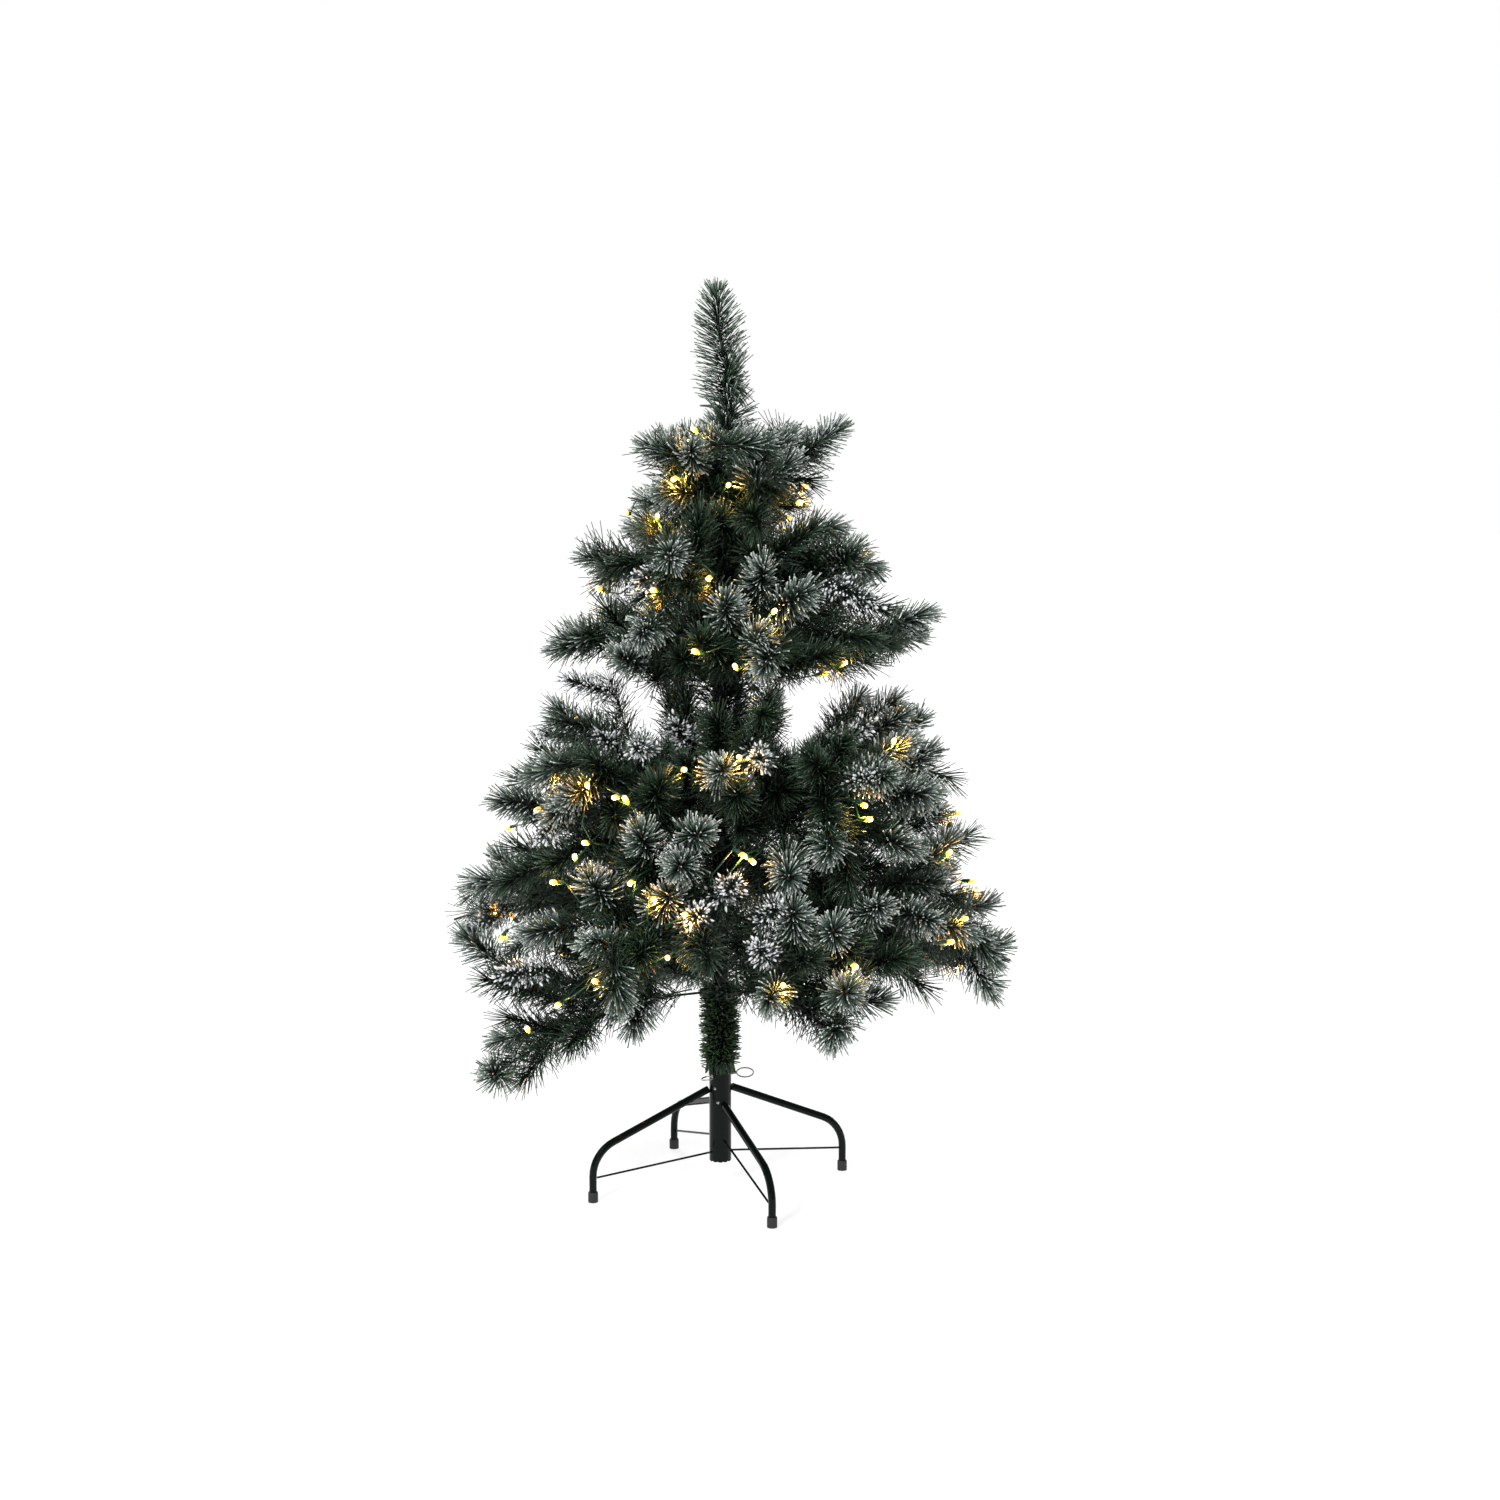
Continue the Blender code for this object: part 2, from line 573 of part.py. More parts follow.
def make_tiers():
    brackets = {pole: bracket_mesh(pole) for pole in (LOWER, UPPER)}
    for tier, pole, height, first_angle, reach, rises, arch, width in TIERS:
        pin = pin_radius_from_axis(pole)
        bracket = add_part(tier + "_bracket", brackets[pole].copy(), BRACKET_GREEN)
        bracket.location.z = height
        bracket.rotation_euler.z = math.radians(first_angle)
        smooth(bracket)
        for index, rise in enumerate(rises):
            angle = math.radians(first_angle) + index * 2 * math.pi / len(rises)
            own_reach = SHORT_BRANCHES.get((tier, index + 1), reach)
            mesh = branch_mesh(tier + "_branch", own_reach - pin, rise, arch, width)
            branch = add_part(f"{tier}_branch_{index + 1}", mesh, NEEDLE_GREEN)
            branch.location = (pin * math.cos(angle), pin * math.sin(angle), height)
            branch.rotation_euler.z = angle
            smooth(branch, SOFT_EDGE)


def make_leader():
    """The top shoot: it leaves the pole's end and leans over as it rises."""
    base = UPPER_POLE_TOP + GAP
    route = [(x, 0.0, base + z) for x, z in LEADER_ROUTE]
    last = len(route) - 1
    shares = [LEADER_CORE_START + (1 - LEADER_CORE_START) * i / last for i in range(1, last + 1)]
    radii = [1.0] + [core_radius(share, LEADER_CORE) / STEM_RADIUS for share in shares]
    leader = add_part("leader", solid_from_curve(curve_data(
        "leader", route, STEM_RADIUS, radii)), NEEDLE_GREEN)
    smooth(leader, SOFT_EDGE)


def make_cable(name, pole, angle):
    """Light cable that climbs beside the pole, straight past each bracket and bowed between them."""
    radius = sleeve_face(pole) + CABLE_OFFSET
    heights = [tier[2] for tier in TIERS if tier[1] == pole]
    ties = [heights[0] - BRACKET_HEIGHT] + heights + [heights[-1] + CABLE_END]
    route = []
    for span, (low, high) in enumerate(zip(ties, ties[1:])):
        bow = CABLE_BOW * (-1) ** span * (0 < span < len(ties) - 2)
        for step in range(CABLE_STEPS):
            share = step / CABLE_STEPS
            turn = angle + bow * math.sin(math.pi * share) ** 3
            route.append((radius * math.cos(turn), radius * math.sin(turn), low + (high - low) * share))
    route.append((radius * math.cos(angle), radius * math.sin(angle), ties[-1]))
    cable = add_part(name, solid_from_curve(curve_data(name, route, CABLE_RADIUS)), CABLE_GREEN)
    smooth(cable)


def make_cables():
    make_cable("lower_light_cable", LOWER, LOWER_CABLE_ANGLE)
    make_cable("upper_light_cable", UPPER, UPPER_CABLE_ANGLE)


clear_scene()
PARTS = new_collection(NAME)
CUTTERS = new_collection(NAME + "_cutters")
make_stand()
make_eye_screws()
make_pole()
make_tiers()
make_leader()
make_cables()
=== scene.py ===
import json
import math
import random

import bmesh
import bpy
from mathutils import Matrix, Vector


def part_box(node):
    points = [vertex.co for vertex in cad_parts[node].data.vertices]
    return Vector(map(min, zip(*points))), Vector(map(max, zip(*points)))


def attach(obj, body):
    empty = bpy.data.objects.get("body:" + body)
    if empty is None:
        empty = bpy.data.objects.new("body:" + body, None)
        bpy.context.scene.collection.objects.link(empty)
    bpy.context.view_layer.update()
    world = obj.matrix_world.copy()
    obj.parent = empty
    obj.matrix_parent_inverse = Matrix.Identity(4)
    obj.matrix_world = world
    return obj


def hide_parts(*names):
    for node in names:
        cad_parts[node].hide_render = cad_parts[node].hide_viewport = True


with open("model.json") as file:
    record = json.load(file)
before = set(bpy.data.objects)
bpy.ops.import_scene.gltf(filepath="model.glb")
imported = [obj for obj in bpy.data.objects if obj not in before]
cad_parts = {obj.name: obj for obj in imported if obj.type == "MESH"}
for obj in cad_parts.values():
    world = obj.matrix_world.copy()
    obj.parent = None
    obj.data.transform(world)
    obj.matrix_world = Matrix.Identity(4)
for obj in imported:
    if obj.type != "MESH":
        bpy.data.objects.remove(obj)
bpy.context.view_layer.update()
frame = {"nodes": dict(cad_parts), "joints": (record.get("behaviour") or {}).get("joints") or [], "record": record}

UP = Vector((0.0, 0.0, 1.0))
ALONG_X = Vector((1.0, 0.0, 0.0))
TIERS = ("bottom", "wide", "shoulder", "skirt", "middle", "crown")
BRANCHES = 4

# Needles: each strip's map has its own column across and runs from root to tip upwards.
KINDS = 8
FROSTED, DARK, FLECKED, WIRE, BUD, SNOW, PLAIN, GARLAND = range(KINDS)
COLUMNS = 24  # columns of colour for each kind of needle
COLUMN_MARGIN = 0.15  # share of a column left free on each side
END_MARGIN = 0.02  # share of the map left free at the root and at the tip
WIRE_COLUMN, BUD_COLUMN, EYE_COLUMN = 3, 2, 5

LONG_NEEDLE = 0.034
DARK_NEEDLE = 0.038
SHORT_NEEDLE = 0.017
FULL = (0.0010, 0.0016)  # widths of a blunt frosted needle, at its root and its tip
FINE = (0.0014, 0.0010)  # of a plain needle
SLIM = (0.0013, 0.0010)  # of a flecked needle
TWIG_LENGTH = 0.085
SHORT_TWIG = 0.055
FLECKED_LENGTH = 0.068
SPRIG_LENGTH = 0.060
TWIG_WIRE = 0.0011
STEM_WIRE = 0.0017
EYE_RADIUS = 0.0036
EYE_WIRE = 0.0012
BUD_SIZE = (0.0022, 0.0022, 0.0055)
FLECK_LENGTH = 0.0066
FLECK_WIDTH = 0.0028
FLECK_FLATNESS = 0.8


# ---------------------------------------------------------------- materials

CRUST_STRETCH = (3.0, 14.0, 1.0)  # crusts of frost on a film: across, along
NOISE_BAND = (0.3, 0.7)  # the part of a noise's values that is used
FILM_SPECULAR = 0.3
GLOSS_SPREAD = 0.2
LENS_COLORS = [(0.0, (1.0, 0.24, 0.02)), (0.50, (1.0, 0.44, 0.06)), (0.86, (1.0, 0.80, 0.34))]
LENS_EMISSION = 2.3


def new_material(name):
    """(material, its node tree, its shader)."""
    material = bpy.data.materials.new(name)
    material.use_nodes = True
    return material, material.node_tree, material.node_tree.nodes["Principled BSDF"]


def add_node(tree, kind, **settings):
    node = tree.nodes.new(kind)
    for key, value in settings.items():
        setattr(node, key, value)
    return node


def set_sockets(node, **values):
    for key, value in values.items():
        node.inputs[key.replace("_", " ")].default_value = value


def ramp_of(tree, stops):
    node = add_node(tree, "ShaderNodeValToRGB")
    elements = node.color_ramp.elements
    while len(elements) < len(stops):
        elements.new(0.5)
    for element, (place, color) in zip(elements, stops):
        element.position = place
        element.color = (*color, 1.0)
    return node


def film_group():
    """Place on a film strip from its own map: how far along it, and two chances of its own."""
    tree = bpy.data.node_groups.new("film_strip", "ShaderNodeTree")
    tree.interface.new_socket("Columns", in_out="INPUT", socket_type="NodeSocketFloat")
    for name in ("Along", "Chance", "Crust"):
        tree.interface.new_socket(name, in_out="OUTPUT", socket_type="NodeSocketFloat")
    link = tree.links.new
    given = add_node(tree, "NodeGroupInput")
    out = add_node(tree, "NodeGroupOutput")
    place = add_node(tree, "ShaderNodeUVMap", uv_map="OFBake")
    split = add_node(tree, "ShaderNodeSeparateXYZ")
    link(place.outputs["UV"], split.inputs["Vector"])
    scaled = add_node(tree, "ShaderNodeMath", operation="MULTIPLY")
    link(split.outputs["X"], scaled.inputs[0])
    link(given.outputs["Columns"], scaled.inputs[1])
    whole = add_node(tree, "ShaderNodeMath", operation="FLOOR")
    link(scaled.outputs[0], whole.inputs[0])
    chance = add_node(tree, "ShaderNodeTexWhiteNoise", noise_dimensions="1D")
    link(whole.outputs[0], chance.inputs["W"])
    spot = add_node(tree, "ShaderNodeCombineXYZ")
    link(scaled.outputs[0], spot.inputs["X"])
    link(split.outputs["Y"], spot.inputs["Y"])
    stretch = add_node(tree, "ShaderNodeVectorMath", operation="MULTIPLY")
    stretch.inputs[1].default_value = CRUST_STRETCH
    link(spot.outputs["Vector"], stretch.inputs[0])
    crust = add_node(tree, "ShaderNodeTexNoise", noise_dimensions="2D")
    set_sockets(crust, Scale=1.0, Detail=2.0)
    link(stretch.outputs["Vector"], crust.inputs["Vector"])
    link(split.outputs["Y"], out.inputs["Along"])
    link(chance.outputs["Value"], out.inputs["Chance"])
    link(crust.outputs["Fac"], out.inputs["Crust"])
    return tree


def film_material(name, stops, light, crusting, roughness):
    """Film strip: colours from root to tip, where a needle's near black root is painted shade, its own lightness,
    and crusts of frost along it.
    """
    material, tree, shader = new_material(name)
    link = tree.links.new
    strip = add_node(tree, "ShaderNodeGroup", node_tree=FILM)
    strip.inputs["Columns"].default_value = KINDS * COLUMNS
    ramp = ramp_of(tree, stops)
    link(strip.outputs["Along"], ramp.inputs["Fac"])
    spread = add_node(tree, "ShaderNodeMapRange")
    set_sockets(spread, To_Min=1.0 - light, To_Max=1.0 + light)
    link(strip.outputs["Chance"], spread.inputs["Value"])
    crust = add_node(tree, "ShaderNodeMapRange")
    set_sockets(crust, From_Min=NOISE_BAND[0], From_Max=NOISE_BAND[1])
    set_sockets(crust, To_Min=1.0 - crusting, To_Max=1.0 + crusting)
    link(strip.outputs["Crust"], crust.inputs["Value"])
    both = add_node(tree, "ShaderNodeMath", operation="MULTIPLY")
    link(spread.outputs["Result"], both.inputs[0])
    link(crust.outputs["Result"], both.inputs[1])
    shade = add_node(tree, "ShaderNodeVectorMath", operation="SCALE")
    link(ramp.outputs["Color"], shade.inputs[0])
    link(both.outputs[0], shade.inputs["Scale"])
    link(shade.outputs["Vector"], shader.inputs["Base Color"])
    set_sockets(shader, Roughness=roughness, Specular_IOR_Level=FILM_SPECULAR)
    return material


def grained_material(name, color, roughness, metallic, scale, depth, specular=0.5, spread=0.12):
    """Paint, rubber, plate or plastic: a fine grain moves its shade, gloss and surface."""
    material, tree, shader = new_material(name)
    link = tree.links.new
    place = add_node(tree, "ShaderNodeTexCoord")
    noise = add_node(tree, "ShaderNodeTexNoise")
    set_sockets(noise, Scale=scale, Detail=4.0, Roughness=0.6)
    link(place.outputs["Object"], noise.inputs["Vector"])
    dark = tuple(channel * (1 - spread) for channel in color)
    pale = tuple(channel * (1 + spread) for channel in color)
    ramp = ramp_of(tree, [(NOISE_BAND[0], dark), (NOISE_BAND[1], pale)])
    link(noise.outputs["Fac"], ramp.inputs["Fac"])
    gloss = add_node(tree, "ShaderNodeMapRange")
    set_sockets(gloss, To_Min=roughness * (1 - GLOSS_SPREAD), To_Max=roughness * (1 + GLOSS_SPREAD))
    link(noise.outputs["Fac"], gloss.inputs["Value"])
    bump = add_node(tree, "ShaderNodeBump")
    set_sockets(bump, Strength=0.5, Distance=depth)
    link(noise.outputs["Fac"], bump.inputs["Height"])
    link(ramp.outputs["Color"], shader.inputs["Base Color"])
    link(gloss.outputs["Result"], shader.inputs["Roughness"])
    link(bump.outputs["Normal"], shader.inputs["Normal"])
    set_sockets(shader, Metallic=metallic, Specular_IOR_Level=specular)
    return material


def lamp_material(name):
    """A lit lens: orange where it meets its holder and near white at its end."""
    material, tree, shader = new_material(name)
    link = tree.links.new
    place = add_node(tree, "ShaderNodeUVMap", uv_map="OFBake")
    split = add_node(tree, "ShaderNodeSeparateXYZ")
    link(place.outputs["UV"], split.inputs["Vector"])
    ramp = ramp_of(tree, LENS_COLORS)
    link(split.outputs["Y"], ramp.inputs["Fac"])
    link(ramp.outputs["Color"], shader.inputs["Base Color"])
    link(ramp.outputs["Color"], shader.inputs["Emission Color"])
    set_sockets(shader, Roughness=0.2, Emission_Strength=LENS_EMISSION)
    return material


# ---------------------------------------------------------------- needles and twigs

NEEDLE_TURN = math.radians(137.5)  # from one needle to the next, round the twig
TWIG_SPANS = 3  # rods in a twig's wire
WIRE_TAPER = 0.94
TWIG_START = 0.03  # share of a twig's wire before its first needle
LIFTS = (-0.05, 0.12)  # how far a twig's end lifts, as a share of its length
FLECKED_LIFTS = (-0.05, 0.15)
# Splays, opening and closing are in degrees between a needle and its twig.
SCATTER = 14
FROSTED_BRUSHING = 0.42
PLAIN_BRUSHING = 0.45
LOWER_SPLAY = 52
BURST_DEPTH = 0.046  # a frosted burst covers this much of its twig's end
BURST_OVERLAP = 0.1  # and shares this much of it with the plain needles below
BURST_OPEN = (62, 80)
BURST_CLOSE = 50
BURST_CROWD = 0.75
BURST_REACH = (0.66, 1.0)
FROSTED_SHARE = 0.82
PLAIN_SPLAY = 58
PLAIN_CLOSE = 34
PLAIN_SHARE = 0.6
FLECKED_SPLAY = 64
FLECKED_CLOSE = 48
FLECKED_END = 0.7  # a flecked twig closes from this share of its length on
LEAST_SPLAY = 4.0
CRUSTED_SHARE = 0.78  # share of a flecked twig's needles that carry snow
SPRIG_SPLAY = 50


def frame_along(direction, roll=0.0):
    """A turn that lays +Z along a direction, rolled about it."""
    return direction.to_track_quat("Z", "Y").to_matrix().to_4x4() @ Matrix.Rotation(roll, 4, "Z")


def map_strip(faces, uv, length, kind, column):
    """Maps a strip's faces onto its colour column, from root to tip."""
    left = (kind * COLUMNS + column + COLUMN_MARGIN) / (KINDS * COLUMNS)
    width = (1 - 2 * COLUMN_MARGIN) / (KINDS * COLUMNS)
    for face in faces:
        for number, loop in enumerate(face.loops):
            along = min(max(loop.vert.co.z / length, 0.0), 1.0)
            across = number / len(face.loops)
            loop[uv].uv = (left + width * across, END_MARGIN + (1 - 2 * END_MARGIN) * along)
        face.material_index = kind
        face.smooth = True


def faces_of(verts):
    return list({face for vert in verts for face in vert.link_faces})


def add_needle(work, uv, root, direction, length, widths, kind, draw):
    """One film needle: three-sided, with its own width at the root and at the tip."""
    column = draw.randrange(COLUMNS)
    roll = draw.uniform(0, math.tau)
    made = bmesh.ops.create_cone(work, cap_ends=True, segments=3, radius1=widths[0] * 0.5,
                                 radius2=widths[1] * 0.5, depth=length)["verts"]
    bmesh.ops.translate(work, verts=made, vec=(0.0, 0.0, length / 2))
    map_strip(faces_of(made), uv, length, kind, column)
    place = Matrix.Translation(root) @ frame_along(direction, roll)
    bmesh.ops.transform(work, matrix=place, verts=made)


def add_fleck(work, uv, place, direction, length, width, column):
    """A crust of snow on a needle's end: a faceted bead longer than it is wide."""
    made = bmesh.ops.create_icosphere(work, subdivisions=1, radius=0.5)["verts"]
    bmesh.ops.scale(work, verts=made, vec=(width, width * FLECK_FLATNESS, length))
    bmesh.ops.translate(work, verts=made, vec=(0.0, 0.0, length / 2))
    map_strip(faces_of(made), uv, length, SNOW, column)
    bmesh.ops.transform(work, matrix=Matrix.Translation(place) @ frame_along(direction), verts=made)


def add_wire(work, uv, points, radius, sides=5):
    """A round wire through the points, as a chain of closed rods."""
    for start, end in zip(points, points[1:]):
        length = (end - start).length
        made = bmesh.ops.create_cone(work, cap_ends=True, segments=sides, radius1=radius,
                                     radius2=radius * WIRE_TAPER, depth=length)["verts"]
        bmesh.ops.translate(work, verts=made, vec=(0.0, 0.0, length / 2))
        map_strip(faces_of(made), uv, length, WIRE, WIRE_COLUMN)
        place = Matrix.Translation(start) @ frame_along(end - start)
        bmesh.ops.transform(work, matrix=place, verts=made)


def splay_direction(splay, turn):
    return Vector((math.cos(splay), math.sin(splay) * math.cos(turn), math.sin(splay) * math.sin(turn)))


def new_foliage():
    work = bmesh.new()
    return work, work.loops.layers.uv.new("OFBake")


def to_mesh(work, name):
    mesh = bpy.data.meshes.new(name)
    work.to_mesh(mesh)
    work.free()
    return mesh


def curved(along, length, lift):
    """A point on a twig's wire, which runs out along +X and lifts as it goes."""
    return Vector((along * length, 0.0, lift * length * along * along))


def start_twig(draw, length, lifts):
    """A new twig with only its wire: (work, map, lift, turn of its first needle)."""
    work, uv = new_foliage()
    lift = draw.uniform(*lifts)
    points = [curved(number / TWIG_SPANS, length, lift) for number in range(TWIG_SPANS + 1)]
    add_wire(work, uv, points, TWIG_WIRE)
    return work, uv, lift, draw.uniform(0, math.tau)


def swept(splay, turn, sweep):
    """A needle's direction, leaned the way the whole twig was brushed."""
    return (splay_direction(splay, turn) + sweep).normalized()


def brushed(draw, most):
    """The lean that brushing gave a whole twig's needles."""
    turn = draw.uniform(0, math.tau)
    return Vector((0.1, math.cos(turn), math.sin(turn))) * draw.uniform(0.4, 1.0) * most


def frosted_twig(seed, length, burst_count, lower_count):
    """A twig with plain needles below and an open, frosted burst round a brown bud at its end."""
    draw = random.Random(seed)
    work, uv, lift, turn = start_twig(draw, length, LIFTS)
    sweep = brushed(draw, FROSTED_BRUSHING)
    open_angle = draw.uniform(*BURST_OPEN)
    burst_start = 1.0 - BURST_DEPTH / length
    for number in range(lower_count):
        along = TWIG_START + (burst_start + BURST_OVERLAP) * (number + 0.5) / lower_count
        turn += NEEDLE_TURN
        splay = math.radians(LOWER_SPLAY + draw.uniform(-15, 15))
        add_needle(work, uv, curved(along, length, lift), swept(splay, turn, sweep),
                   LONG_NEEDLE * draw.uniform(0.9, 1.1), FINE, DARK, draw)
    for number in range(burst_count):
        share = (number + 0.5) / burst_count
        turn += NEEDLE_TURN
        along = burst_start + (1.0 - burst_start) * share ** BURST_CROWD
        clump = 0.5 + 0.5 * math.sin(3 * turn + seed) * math.sin(5 * turn)
        splay = math.radians(open_angle - BURST_CLOSE * share ** 2 + draw.uniform(-SCATTER, SCATTER))
        width = draw.uniform(0.8, 1.25)
        reach = LONG_NEEDLE * draw.uniform(*BURST_REACH) * (0.90 + 0.25 * clump)
        kind = FROSTED if draw.random() < FROSTED_SHARE else PLAIN
        add_needle(work, uv, curved(along, length, lift), swept(splay, turn, sweep), reach,
                   (FULL[0] * width, FULL[1] * width), kind, draw)
    tip = curved(1.0, length, lift)
    bud = bmesh.ops.create_icosphere(work, subdivisions=1, radius=1.0)["verts"]
    bmesh.ops.scale(work, verts=bud, vec=BUD_SIZE)
    map_strip(faces_of(bud), uv, BUD_SIZE[2], BUD, BUD_COLUMN)
    bmesh.ops.transform(work, matrix=Matrix.Translation(tip) @ frame_along(ALONG_X), verts=bud)
    return to_mesh(work, "frosted_twig")


def plain_twig(seed, length, count):
    """A twig of long green needles with only a breath of frost on their ends."""
    draw = random.Random(seed)
    work, uv, lift, turn = start_twig(draw, length, LIFTS)
    sweep = brushed(draw, PLAIN_BRUSHING)
    for number in range(count):
        share = (number + 0.5) / count
        turn += NEEDLE_TURN
        splay = math.radians(PLAIN_SPLAY - PLAIN_CLOSE * share ** 3 + draw.uniform(-SCATTER, SCATTER))
        kind = PLAIN if draw.random() < PLAIN_SHARE else DARK
        root = curved(TWIG_START + (1 - TWIG_START) * share, length, lift)
        add_needle(work, uv, root, swept(splay, turn, sweep), DARK_NEEDLE * draw.uniform(0.75, 1.1),
                   FINE, kind, draw)
    return to_mesh(work, "plain_twig")


def flecked_twig(seed, length, count):
    """A short-needled twig whose needles carry crusts of snow."""
    draw = random.Random(seed)
    work, uv, lift, turn = start_twig(draw, length, FLECKED_LIFTS)
    for number in range(count):
        along = TWIG_START + (1 - TWIG_START) * (number + 0.5) / count
        turn += NEEDLE_TURN
        end = max(0.0, (along - FLECKED_END) / (1 - FLECKED_END))
        splay = FLECKED_SPLAY + draw.uniform(-24, 24) - FLECKED_CLOSE * end ** 1.5
        direction = splay_direction(math.radians(max(LEAST_SPLAY, splay)), turn)
        reach = SHORT_NEEDLE * draw.uniform(0.6, 1.5)
        root = curved(along, length, lift)
        add_needle(work, uv, root, direction, reach, SLIM, FLECKED, draw)
        if draw.random() < CRUSTED_SHARE:
            size = draw.uniform(0.5, 1.3)
            slim = draw.uniform(0.7, 1.25)
            add_fleck(work, uv, root + direction * reach * draw.uniform(0.45, 0.85), direction,
                      FLECK_LENGTH * size, FLECK_WIDTH * size * slim, draw.randrange(COLUMNS))
    return to_mesh(work, "flecked_twig")


def dark_sprig(seed, count):
    """A length of branch wire with long plain needles that sweep forwards."""
    draw = random.Random(seed)
    work, uv = new_foliage()
    turn = draw.uniform(0, math.tau)
    for number in range(count):
        along = (number + 0.5) / count
        turn += NEEDLE_TURN
        splay = math.radians(SPRIG_SPLAY + draw.uniform(-18, 18))
        add_needle(work, uv, ALONG_X * (along * SPRIG_LENGTH), splay_direction(splay, turn),
                   DARK_NEEDLE * draw.uniform(0.85, 1.15), FINE, DARK, draw)
    return to_mesh(work, "dark_sprig")


def gather(name, placed, materials):
    """Meshes in their places as one piece."""
    work = bmesh.new()
    for mesh, place in placed:
        copy = mesh.copy()
        copy.transform(place)
        work.from_mesh(copy)
        bpy.data.meshes.remove(copy)
    return finish_piece(name, work, materials)


def finish_piece(name, work, materials):
    mesh = to_mesh(work, name)
    for material in materials:
        mesh.materials.append(material)
    return add_piece(name, mesh)


def add_piece(name, data):
    obj = bpy.data.objects.new(name, data)
    bpy.context.scene.collection.objects.link(obj)
    return obj


# ---------------------------------------------------------------- branches

def joint_of(body):
    return next(joint for joint in frame["joints"] if joint["child"] == body)


def stem_line(node, pin, outward, rings=8):
    """The branch's centre line from its hinge pin to its tip, read from the solid's rings."""
    points = [vert.co.copy() for vert in frame["nodes"][node].data.vertices]
    reach = max((point - pin).dot(outward) for point in points)
    groups = {}
    for point in points:
        along = (point - pin).dot(outward)
        if along > 2 * EYE_RADIUS:
            groups.setdefault(round(along / reach * (rings - 1)), []).append(point)
    line = [pin]
    for number in sorted(groups):
        group = groups[number]
        low = Vector([min(point[axis] for point in group) for axis in range(3)])
        high = Vector([max(point[axis] for point in group) for axis in range(3)])
        line.append((low + high) / 2)
    return line


def point_on(line, share):
    """(place, direction) a share of the way along a line of points."""
    place = share * (len(line) - 1)
    number = min(int(place), len(line) - 2)
    part = place - number
    here, there = line[number], line[number + 1]
    return here.lerp(there, part), (there - here).normalized()


def twig_frame(place, direction, roll, scale):
    """Lays a twig, which runs along +X with its lift towards +Z, in a direction with its lift upwards."""
    side = UP.cross(direction)
    side = side.normalized() if side.length > 0.1 else Vector((0, 1, 0))
    lift = direction.cross(side)
    turn = Matrix((direction, side, lift)).transposed().to_4x4()
    return (Matrix.Translation(place) @ turn @ Matrix.Rotation(roll, 4, "X")
            @ Matrix.Diagonal((scale, scale, scale, 1.0)))


# The canopy's outline, as (radius, height) of the twigs' ends, from its underside to its top.
OUTLINES = {
    "lower": ((0.325, 0.285), (0.352, 0.335), (0.335, 0.395), (0.322, 0.455), (0.300, 0.530),
              (0.280, 0.590), (0.252, 0.640), (0.215, 0.660), (0.180, 0.655)),
    "upper": ((0.120, 0.712), (0.185, 0.716), (0.222, 0.748), (0.208, 0.785), (0.168, 0.830),
              (0.158, 0.880), (0.105, 0.925), (0.100, 0.975), (0.065, 1.010)),
}
OUTLINE_SHIFT = {"lower": 0.012, "upper": 0.024}  # to the right of the pole
RIM_TOP = 0.400
# Height of the lower section's rim round the tree: (angle in degrees, height)
RIM = ((0, 0.305), (60, 0.300), (120, 0.290), (180, 0.270), (215, 0.285), (245, 0.350), (270, 0.385),
       (290, 0.350), (305, 0.315), (330, 0.310), (360, 0.305))
TIPS = {"lower": 118, "upper": 62}
INNER_TIPS = {"lower": 64, "upper": 36}
INNER_SHARE = (0.50, 0.80)
CARRIERS = {"lower": ("bottom", "wide", "shoulder"), "upper": ("skirt", "middle", "crown")}
GOLDEN_ANGLE = math.radians(137.508)
RIM_SPLIT = 0.695  # twigs and lamps below this height are on the lower section
FIRST_SIDE = -0.04  # the side seen first is in front of this line
KIND_WEIGHTS = (56, 14, 30)  # frosted, snowy and green among the spread twigs behind that line
FIRST_SIDE_WEIGHTS = (24, 6, 70)  # and in front of it
OUTER_SHARE = (0.84, 1.0)  # spread ends stand at this share of the outline's radius
HEIGHT_SCATTER = 0.014
ANGLE_SCATTER = 0.10
CROWDING = 0.0020  # each twig on a branch makes the next one cost this much more wire
CLEARANCE = 0.042  # spread twig ends stay this far from the placed ones
REACH_LIMIT = 0.362  # the twig at a branch's own end stands no further out than this
WAIST_WINDOWS = ((-0.185, -0.065), (0.075, 0.180))  # openings beside the pole, from left to right
WAIST_HEIGHT = 0.657
WAIST_SLOPE = -0.105  # the openings sink towards the back
WAIST_HALF = 0.050  # a twig's end this near an opening's middle would fill it

# Ends of the placed twigs, on the side that is seen first, in millimetres
FROSTED_ENDS = (
    (45, -97, 974), (89, -77, 958), (-37, -78, 975), (-65, -52, 934), (56, -163, 834), (9, -200, 793),
    (49, -218, 752), (105, -178, 798), (-97, -181, 755), (-121, -148, 728), (-179, -216, 563),
    (-195, -210, 541), (-23, -297, 527), (-95, -280, 524), (4, -272, 603), (-47, -306, 489),
    (-156, -271, 462), (83, -304, 485), (131, -282, 506), (231, -147, 615), (256, -163, 548),
    (226, -224, 495), (192, -271, 437), (-275, -79, 537), (-311, -55, 429), (-321, -92, 357),
    (-225, -234, 399), (-155, -289, 399), (59, -346, 338), (140, -303, 419), (95, -314, 433),
    (154, -316, 349), (300, -176, 386), (196, -209, 592), (-106, -300, 300), (150, 20, 1005),
    (262, -20, 768), (255, 50, 735), (360, -60, 338), (355, 40, 372), (346, -110, 300), (195, -205, 302),
    (330, 120, 300),
)
